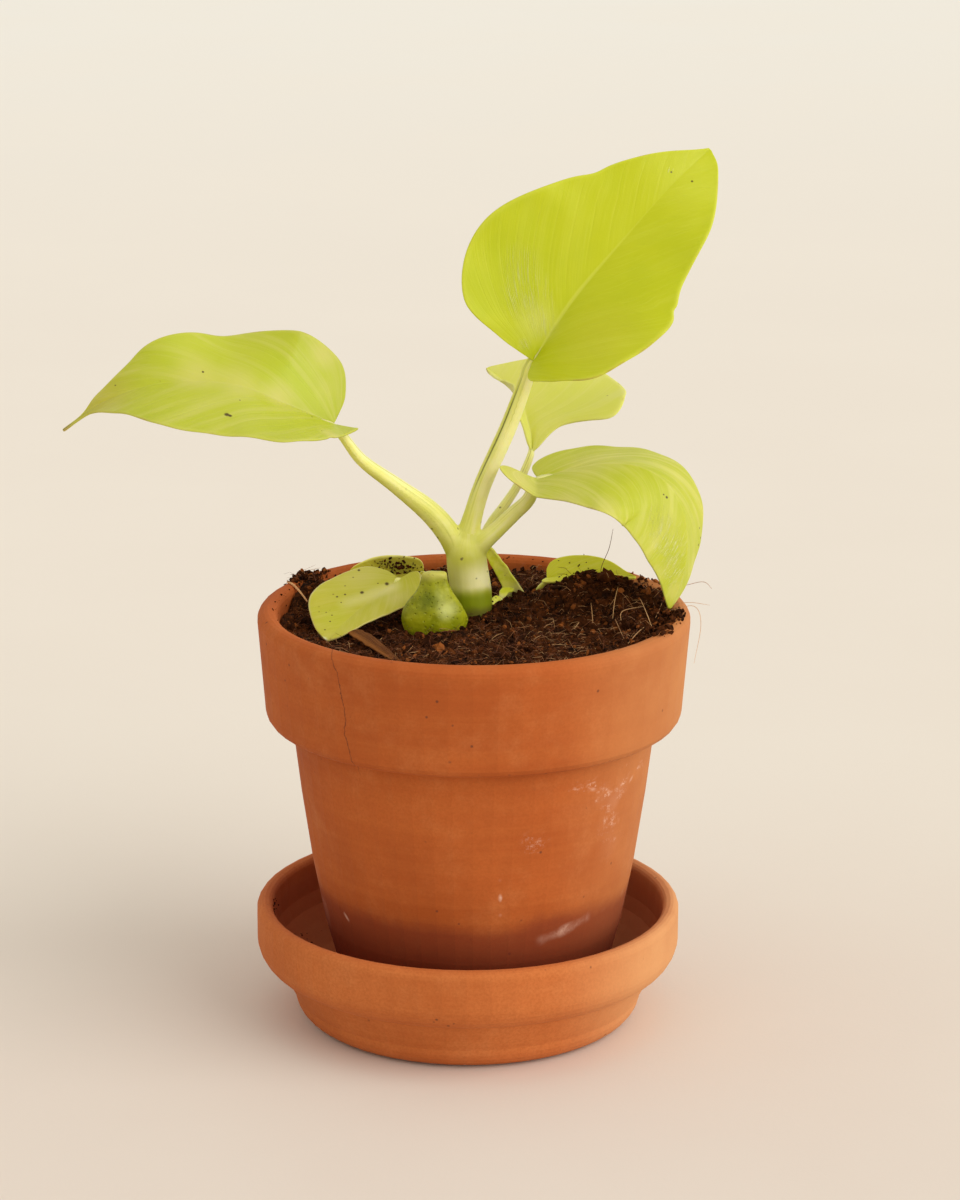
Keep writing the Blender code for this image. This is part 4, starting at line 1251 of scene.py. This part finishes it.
# Crumbs on the saucer's floor, and damp ones that stick to the left of its inner wall
for _ in range(18):
    angle, radius = chance.normal(2.85, 0.12), chance.uniform(41.5, 47.5)
    start = (radius * math.cos(angle), radius * math.sin(angle), 24.0)
    let_down([saucer], start, DOWN, crumb_size(0.15, 0.40))
for _ in range(34):
    angle = chance.normal(3.14, 0.07)
    heading = (math.cos(angle), math.sin(angle), 0.0)
    start = (46.0 * heading[0], 46.0 * heading[1], chance.uniform(21.0, 29.0))
    let_down([saucer], start, heading, chance.uniform(0.18, 0.45))
crumbs("scattered_crumbs", places, sizes, 1, chance.random(len(sizes)) * 0.8)

# %% [markdown]
# ## The crown and its stalks
# The stalks grow out of the fleshy crown without a seam, and each runs on as a rib under its
# blade. Booleans would leave sharp creases where tubes meet. A voxel remesh melts the tubes
# into one skin, and a little smoothing rounds the forks, as growth does.

# %% The stalks in numbers
# The crown from the rootstock to the fork: x, y, z, radius
CROWN = (
    (1, 5, 96, 4.6), (1, 5, 103, 5.1), (0.7, 5, 108, 5.35), (0.5, 5, 111, 5.45), (0.2, 5, 114, 5.3),
    (-0.3, 5, 117.4, 5.25), (-0.6, 5, 120.5, 5.1), (-0.8, 5, 123.2, 4.2), (-0.9, 5, 125.2, 2.8),
)
# Each stalk from the crown to the blade: x, y, z, radius; and the rib under the blade: how
# far along the midrib it runs, and its radius at its start
STALKS = {
    "tall": (
        ((-0.9, 5.2, 119.5, 3.6), (-0.2, 5.5, 125.5, 3), (1.2, 5.8, 131.2, 2.5),
         (2.9, 5.9, 137, 2.35), (5.1, 5.7, 142.7, 2.3), (9.9, 5.2, 153.8, 2.25),
         (14, 4.9, 165.2, 2), (15.3, 5.3, 169.6, 1.7)),
        0.7, 1.1,
    ),
    "left": (
        ((-2.2, 5, 119.5, 2.9), (-4.9, 4.9, 125.8, 3.1), (-9.9, 4, 132.2, 2.9),
         (-18.4, 2, 139.5, 2.15), (-26.9, -0.4, 146.6, 1.65), (-32.6, -1.9, 154.3, 1.25)),
        0.75, 0.95,
    ),
    "right": (
        ((0.6, 4.8, 119.5, 2.9), (3, 4.6, 123.4, 2.6), (6.9, 4.6, 127.1, 2.2),
         (11.4, 4.5, 131.6, 2.05), (15, 4.3, 135.2, 1.85), (17.3, 4.1, 139.8, 1.5)),
        0.7, 1,
    ),
    "back": (
        ((2.2, 8, 120.5, 1.7), (5.6, 11.5, 126.8, 1.5), (9.2, 15.5, 131.1, 1.35),
         (12.7, 19, 135.8, 1.2), (15.7, 21.8, 142.3, 1.05)),
        0.7, 0.8,
    ),
}


# %% Ribs and round tubes
def rib_points(blade, reach, radius, count=14):
    """The rib under a blade, as x, y, z and radius, from the base towards the tip."""
    midrib = Midrib(blade)
    along = np.linspace(0.06, reach, count) * midrib.length
    radii = np.linspace(radius, 0.30, count)
    depth = (0.15 + radii * 0.75)[:, None]
    under = midrib.read(midrib.points, along) - unit(midrib.read(midrib.face, along)) * depth
    return np.concatenate([under, radii[:, None]], axis=1)


def add_tube(name, path, count):
    """A round tube along points of x, y, z and radius, as a curve object."""
    curve = bpy.data.curves.new(name, "CURVE")
    curve.dimensions = "3D"
    curve.bevel_depth = MM
    curve.bevel_resolution = 6
    curve.use_fill_caps = True
    spline = curve.splines.new("POLY")
    line = smooth_line(path, count)
    spline.points.add(len(line) - 1)
    for point, (x, y, z, radius) in zip(spline.points, line):
        point.co = (x * MM, y * MM, z * MM, 1.0)
        point.radius = radius
    return new_object(name, curve)


# %% Melt the tubes into one skin
def melt(name, tubes_made, voxel, smoothing, finish):
    """Joins closed tubes into one smooth skin, and removes the tubes."""
    graph = bpy.context.evaluated_depsgraph_get()
    joined = bmesh.new()
    for tube in tubes_made:
        mesh = bpy.data.meshes.new_from_object(tube.evaluated_get(graph))
        joined.from_mesh(mesh)
        bpy.data.objects.remove(tube, do_unlink=True)
    mesh = bpy.data.meshes.new(name)
    joined.to_mesh(mesh)
    joined.free()
    skin = new_object(name, mesh)
    remesh = skin.modifiers.new("melt", "REMESH")
    remesh.mode = "VOXEL"
    remesh.voxel_size = voxel * MM
    soften = skin.modifiers.new("soften", "SMOOTH")
    soften.factor = 0.5
    soften.iterations = smoothing
    graph = bpy.context.evaluated_depsgraph_get()
    final = bpy.data.meshes.new_from_object(skin.evaluated_get(graph))
    skin.modifiers.clear()
    skin.data = final
    final.materials.clear()
    final.materials.append(finish)
    final.shade_smooth()
    return skin


# %% Finish for the crown and stalks
def make_stem_finish():
    """The crown is pale with a white waist and a green foot; stalks are pale with grooves."""
    finish = start_finish("crown and stalks")
    where = place()
    z = axis_of(where, "Z")
    green, cream, groove, groove_line, beside, which = (
        attribute(part) for part in ("green", "cream", "groove", "groove_line", "beside", "crown")
    )
    patch = cloud(where, 140.0, 4.0, 0.6)
    run = field("CombineXYZ", 0, {0: beside * 6.0, 1: z})
    fibres = cloud(vectors("MULTIPLY", run, (1.0, 40.0, 1.0)), 1.0, 3.0, 0.6)
    stripes = between(which, 0.0, 1.0, 0.5, 0.12)
    # Heights on the crown, with a wobble: its white waist, its green foot and the soil
    wobble = cloud(where, 130.0, 2.0) * 0.003 + z
    # The white waist is painted brighter on the right, where the light falls
    lit = between(axis_of(where, "X"), -0.005, 0.004, 0.25, 0.9)
    waist = between(wobble, 0.1225, 0.1170) * between(wobble, 0.1125, 0.1155) * which * lit
    from_groove = maths("ABSOLUTE", beside)
    specks = flecks(where, 420.0, 0.10, 0.20, 230.0, 0.53, 0.58) * between(z, 0.145, 0.126)
    colour = layers(
        (0.82, 0.83, 0.180),
        (between(patch, 0.35, 0.7), (0.92, 0.90, 0.33)),
        # The green and cream sides: partly the stalks' own tones, partly painted shade and light
        (green, (0.56, 0.58, 0.050)),
        (cream, (0.91, 0.87, 0.50)),
        # Light and dark stripes along the fibres
        (between(fibres, 0.5, 0.7) * stripes, (0.92, 0.88, 0.46)),
        (between(fibres, 0.5, 0.3) * stripes, (0.44, 0.48, 0.030)),
        # The crown is greener, with a white waist, a green foot and a brown line at the soil
        (which * 0.75, (0.49, 0.49, 0.026)),
        (waist, (0.94, 0.90, 0.50)),
        (between(wobble, 0.1150, 0.1115) * which * 0.92, (0.25, 0.31, 0.0)),
        (between(wobble, 0.1100, 0.1080) * which * 0.7, (0.12, 0.09, 0.02)),
        # Painted shade in the groove: it is darker at its sides and has a thin dark line
        (groove * between(from_groove, 0.05, 0.40, 0.45, 0.0), (0.44, 0.48, 0.020)),
        (groove_line * between(from_groove, 0.05, 0.16, 0.95, 0.0), (0.13, 0.14, 0.010)),
        # Brown specks near the fork
        (specks * 0.75, (0.09, 0.05, 0.02)),
    )
    coat(colour, 0.40, 0.32, 0.5, (1.0, 0.9, 0.3), 0.0018)
    relief(fibres * 0.6 + dots(where, 2200.0) * 0.15, 0.00015, 0.6)
    return finish


stem_finish = make_stem_finish()

# %% Build the crown and stalks
made, paths = [add_tube("crown tube", CROWN, 40)], {}
for name, (path, reach, radius) in STALKS.items():
    rib = rib_points(BLADES[name], reach, radius)
    whole = [*path, *rib]
    paths[name] = smooth_line(whole, LINE_POINTS)
    made.append(add_tube("stalk tube " + name, whole, LINE_POINTS))
bpy.context.view_layer.update()
stem = melt("crown_and_stalks", made, 0.34, 16, stem_finish)
print("points on the crown and stalks:", len(stem.data.vertices))

# %% [markdown]
# Each point of the new skin looks for the nearest stalk. From its angle round that stalk it
# learns whether it lies in the groove that runs up the stalk, which is pressed in a little,
# and on its pale upper side, towards the light, or its greener lower side, away from it;
# these tones are partly painted light and shade.

# %% Find the nearest stalk
points = np.array([v.co[:] for v in stem.data.vertices]) / MM
every_line = [*paths.values(), smooth_line(CROWN, 60)]
centres, radii = np.vstack(every_line)[:, :3], np.vstack(every_line)[:, 3]
owners = np.concatenate([np.full(len(line), i) for i, line in enumerate(every_line)])
nearest = np.empty(len(points), int)
for first in range(0, len(points), 2000):
    some = points[first : first + 2000]
    away = np.linalg.norm(some[:, None] - centres[None], axis=2) / radii[None]
    nearest[first : first + 2000] = away.argmin(axis=1)
outward = unit(points - centres[nearest])
owner = owners[nearest]
print("points on the crown itself:", int((owner == len(paths)).sum()))

# %% Grooves and tones along the stalks
# For each stalk: the side that the groove is on, the pale side and the green side. The pale
# side faces the light and the green side lies away from it, so their tones are partly
# painted light and shade
SIDES = {
    "tall": ((-0.72, -0.55, 0.36), (0.75, -0.65, 0.1), (-0.95, -0.2, 0.0)),
    "left": ((0.25, -0.3, 0.9), (0.2, -0.3, 1.0), (-0.2, -0.2, -1.0)),
    "right": ((-0.3, -0.2, 0.9), (-0.3, -0.2, 1.0), (0.3, -0.3, -0.9)),
    "back": ((-0.2, -0.8, 0.6), (-0.2, -0.6, 0.8), (0.3, 0.3, -0.9)),
}
green, cream, groove, beside = (np.zeros(len(points)) for _ in range(4))
# On the crown itself the stripes run up its sides
beside[:] = np.sin(3.0 * np.arctan2(points[:, 1] - 5.0, points[:, 0]))
fading = np.clip((points[:, 2] - 136.0) / 6.0, 0, 1) * np.clip((168.0 - points[:, 2]) / 8.0, 0, 1)
for i, name in enumerate(paths):
    mine = owner == i
    in_groove, pale_lit_side, green_shaded_side = (unit(np.array(d)) for d in SIDES[name])
    line = paths[name][:, :3]
    step = nearest[mine] - i * LINE_POINTS
    ahead = unit(np.gradient(line, axis=0))[step]
    # The groove and the pale side start above the fork and end below the blade's middle
    start = np.clip((step - 10) / 25.0, 0, 1) * np.clip((120 - step) / 20.0, 0, 1)

    def towards(direction, quarter_turn=False):
        flat = unit(direction - ahead * (ahead @ direction)[:, None])
        flat = np.cross(ahead, flat) if quarter_turn else flat
        return (outward[mine] * flat).sum(axis=1)

    beside[mine] = np.where(towards(in_groove) > 0, towards(in_groove, True), 1.0)
    groove[mine] = start * (1.0 if name == "tall" else 0.35)
    cream[mine] = np.clip(towards(pale_lit_side), 0, 1) ** 1.5 * 0.6 * start
    green[mine] = np.clip(towards(green_shaded_side), 0, 1) * {"back": 0.1, "right": 0.12}.get(name, 0.4)
    if name == "back":
        cream[mine] = 0.40
points -= outward * (groove * np.exp(-((beside / 0.28) ** 2)) * radii[nearest] * 0.22)[:, None]
stem.data.vertices.foreach_set("co", (points * MM).astype(np.float32).ravel())
for kind, values in {
    "groove": groove, "groove_line": groove * fading, "beside": beside, "cream": cream,
    "green": green, "crown": np.clip((127.0 - points[:, 2]) / 6.0, 0, 1),
}.items():
    keep_number(stem, kind, values)
settle(stem, "stalk", "crown", *("petiole_" + name for name in STALKS))

# %% [markdown]
# The three low leaves have short stalks of their own. They come out of the soil beside the
# crown and bend over under the weight of their blades.

# %% Short stalks of the low leaves
LOW_STALKS = {
    "low_front": ((-13.5, 8.5, 96.0, 1.1), (-15.0, 9.0, 106.0, 1.05), (-17.6, 9.0, 112.4, 0.85)),
    "low_rear": ((-6.0, 20.0, 96.0, 1.0), (-8.0, 22.5, 106.0, 0.95), (-11.6, 25.0, 109.9, 0.85)),
    "low_side": ((15.5, 22.5, 96.0, 0.8), (17.4, 22.0, 105.4, 0.75), (20.2, 21.0, 109.3, 0.6)),
}
for name, path in LOW_STALKS.items():
    rib = rib_points(BLADES[name], 0.6, 0.6, 8)
    tube = add_tube("low tube", [*path, *rib], 70)
    bpy.context.view_layer.update()
    stalk = melt("stalk_" + name, [tube], 0.2, 3, stem_finish)
    settle(stalk, "stalk", "petiole_" + name)

# %% [markdown]
# ## The stump of an old leaf
# In front of the crown stands the swollen base of a leaf that was cut off long ago. It is a
# flattened bulb with a short neck, finely pitted, and green in darker and lighter patches. A
# turned outline pressed flat gives the bulb, and noise along the normals gives its dents.

# %% Build the stump
STUMP_OUTLINE = (
    (0, 119), (1.6, 119.1), (2.9, 118.6), (3.3, 116.6), (4.1, 114.6), (5.6, 112.4), (7, 110.2),
    (7.6, 108), (7.5, 106.2), (6.6, 103.6), (4.8, 99.5), (0, 99.2),
)
STUMP_CENTRE = (-8.9, -6.0)
STUMP_DEPTH = 0.60
STUMP_SIDES = 120
outline = smooth_line(STUMP_OUTLINE, 90)
outline[:, 0] = np.maximum(outline[:, 0], 0.0)
points = []
for radius, z in outline:
    for angle in np.linspace(0, 2 * math.pi, STUMP_SIDES, endpoint=False):
        swell = 1.0 + 0.05 * math.sin(2 * angle + 1.0) + 0.03 * math.sin(5 * angle + z * 0.2)
        low = min(1.0, max(0.0, (109.5 - z) / 3.0))
        swell += 0.12 * low * math.exp(-(((angle - 0.1) / 0.4) ** 2))
        lean = 0.035 * (z - 106.0)
        x = STUMP_CENTRE[0] + lean + radius * swell * math.cos(angle)
        y = STUMP_CENTRE[1] + radius * swell * STUMP_DEPTH * math.sin(angle)
        points.append((x, y, z + 0.25 * radius / 7.6 * math.sin(3 * angle)))
points = np.array(points)
for i, (x, y, z) in enumerate(points):
    from_middle = (x - STUMP_CENTRE[0], (y - STUMP_CENTRE[1]) / 0.4, 0.5 * (z - 108.0))
    dent = 0.22 * noise.noise(Vector((x, y, z)) / 3.6) + 0.05 * noise.noise(Vector((x, y, z)))
    points[i] += unit(np.array(from_middle) + 1e-6) * dent
faces = grid_faces(len(outline), STUMP_SIDES, True)
faces.append(tuple(range(STUMP_SIDES))[::-1])
faces.append(tuple(range(len(points) - STUMP_SIDES, len(points))))

# %% Finish for the stump
# Each: centre, radius, amount and tone. The first two, pale, are painted highlights on its shiny
# ridge
STUMP_PATCHES_AND_HIGHLIGHTS = (
    ((-5.2, -10, 110), 3.8, 0.8, (0.7, 0.74, 0.22)),
    ((-6.6, -9.4, 113.8), 2.6, 0.6, (0.62, 0.66, 0.12)),
    ((-10.2, -9, 112.8), 4.6, 0.85, (0.13, 0.165, 0)),
    ((-3, -9, 106.5), 3, 0.6, (0.2, 0.24, 0.001)),
    ((-13.5, -9, 107.5), 3.5, 0.5, (0.5, 0.51, 0.014)),
    ((-9, -10, 106.5), 2.5, 0.5, (0.24, 0.28, 0.002)),
)
stump_finish = start_finish("old leaf base")
where = place()
patch = cloud(where, 170.0, 5.0, 0.65)
pits = between(dots(where, 900.0), 0.30, 0.12)
z = axis_of(where, "Z")
colour = layers(
    (0.22, 0.24, 0.0),
    (between(patch, 0.36, 0.62), (0.38, 0.40, 0.008)),
    (between(cloud(where, 700.0, 4.0, 0.7), 0.5, 0.75) * 0.4, (0.58, 0.60, 0.050)),
    (pits * 0.3, (0.13, 0.13, 0.006)),
    # Its darker and lighter patches; the two pale ones are painted highlights
    *spots(where, STUMP_PATCHES_AND_HIGHLIGHTS),
    # Its cut top is dry, and its base is stained by the soil
    (between(z, 0.1165, 0.1188) * 0.7, (0.66, 0.62, 0.14)),
    (between(patch * 0.004 + z, 0.1068, 0.1045) * 0.6, (0.05, 0.035, 0.012)),
)
coat(colour, 0.38, 0.26, 0.2, (1.0, 0.9, 0.2), 0.0015)
relief(pits * -0.8 + patch * 0.8, 0.00035, 0.7)
stump = make_piece("old_leaf_stump", points, faces, [stump_finish])
settle(stump, "old base", "old_leaf_base")

# %% [markdown]
# ## The torn sheath and the bark
# A strip of an old leaf sheath leans from the crown to the soil. It was torn, so its lower
# end is ragged and dry. A sliver of bark lies in the soil at the front left. Both are ribbons
# whose edge is roughened, which is quicker and closer to the real thing than cutting them.

# %% Ribbons with rough edges
def ribbon(name, path, half_width, facing, thickness, rough, finish, rows=60, columns=10, curl=0.0):
    """A strip along a line, with rough edges; curl lifts its edges."""
    line = smooth_line(path, rows)
    ahead = unit(np.gradient(line, axis=0))
    across = unit(np.cross(ahead, np.asarray(facing, float)))
    up = np.cross(across, ahead)
    shares = np.linspace(-1, 1, columns)
    widths = smooth_line(half_width, rows)[:, 0]
    grid = []
    for i in range(rows):
        left = 1.0 + rough * noise.noise(Vector((i * 0.13, 1.0, 0.0)))
        right = 1.0 + rough * noise.noise(Vector((i * 0.15, 9.0, 0.0)))
        for share in shares:
            wide = widths[i] * (left if share < 0 else right)
            lift = curl * share**2 + 0.05 * noise.noise(Vector((i * 0.3, share * 4.0, 4.0)))
            grid.append(line[i] + across[i] * share * wide + up[i] * lift)
    piece = make_piece(name, grid, grid_faces(rows, columns), [finish])
    keep_number(piece, "row", np.repeat(np.linspace(0, 1, rows), columns))
    keep_number(piece, "side", np.tile(shares, rows))
    return thicken(piece, thickness)


# %% The torn sheath and its scraps
sheath_finish = start_finish("torn sheath")
where = place()
patch = cloud(where, 300.0, 4.0, 0.6)
colour = layers(
    (0.82, 0.87, 0.040),
    (between(patch, 0.35, 0.65), (0.95, 0.95, 0.16)),
    (between(attribute("row"), 0.72, 0.95) * 0.7, (0.92, 0.86, 0.36)),
    (flecks(where, 620.0, 0.08, 0.18, 330.0, 0.5, 0.6) * 0.8, (0.10, 0.06, 0.02)),
)
coat(colour, 0.5, scatter=0.3)
relief(patch, 0.0002, 0.6)
SHEATH_PATH = (
    (2.6, 6.8, 123.4), (4.8, 8.2, 121.2), (7, 10.4, 117.4), (9.6, 13.4, 112.4), (12.2, 16.6, 106.9),
)
sheath = ribbon(
    "torn_sheath", SHEATH_PATH, (0.8, 1.2, 1.6, 1.9, 2.3), (0.0, 1.0, 0.15), 0.7, 0.16,
    sheath_finish, curl=-0.4,
)
settle(sheath, "stalk", "old_sheath")
SCRAPS = (
    (((11.4, 15.6, 109.2), (9.6, 13.6, 109), (8.2, 11.4, 107.6)), (0.7, 1.2, 0.5)),
    (((5.9, 6.6, 107.2), (7.2, 8.4, 108.4), (8.6, 9.9, 107.6)), (0.4, 0.9, 0.4)),
)
for number, (path, half_width) in enumerate(SCRAPS):
    scrap = ribbon(
        "sheath_scrap_%d" % number, path, half_width, (0.3, -0.6, 1.0), 0.4, 0.5,
        sheath_finish, rows=24, columns=8, curl=-0.3,
    )
    settle(scrap, "stalk")

# %% The sliver of bark
bark_finish = start_finish("bark")
side = attribute("side")
stripes = cloud(along_veins(side, attribute("row"), 9.0, 3.0), 1.0, 4.0, 0.7)
colour = layers(
    (0.055, 0.015, 0.003),
    (between(stripes, 0.35, 0.65), (0.24, 0.078, 0.015)),
    (between(side, 0.1, 0.9) * 0.65, (0.40, 0.15, 0.032)),
)
coat(colour, 0.9, 0.15)
relief(stripes, 0.0005, 0.8)
BARK_PATH = ((-29, -7, 104), (-26, -14.5, 104.6), (-21.9, -24.5, 104.7), (-16.4, -36, 104))
bark = ribbon(
    "bark_sliver", BARK_PATH, (1.7, 2.1, 1.6, 0.8), (0.0, -0.25, 1.0), 0.5, 0.25,
    bark_finish, rows=70, columns=12, curl=-0.35,
)
settle(bark, "bark", "bark_strip")

# %% [markdown]
# ## The last step
# The view layer is brought up to date once more.

# %% Update the scene
bpy.context.view_layer.update()
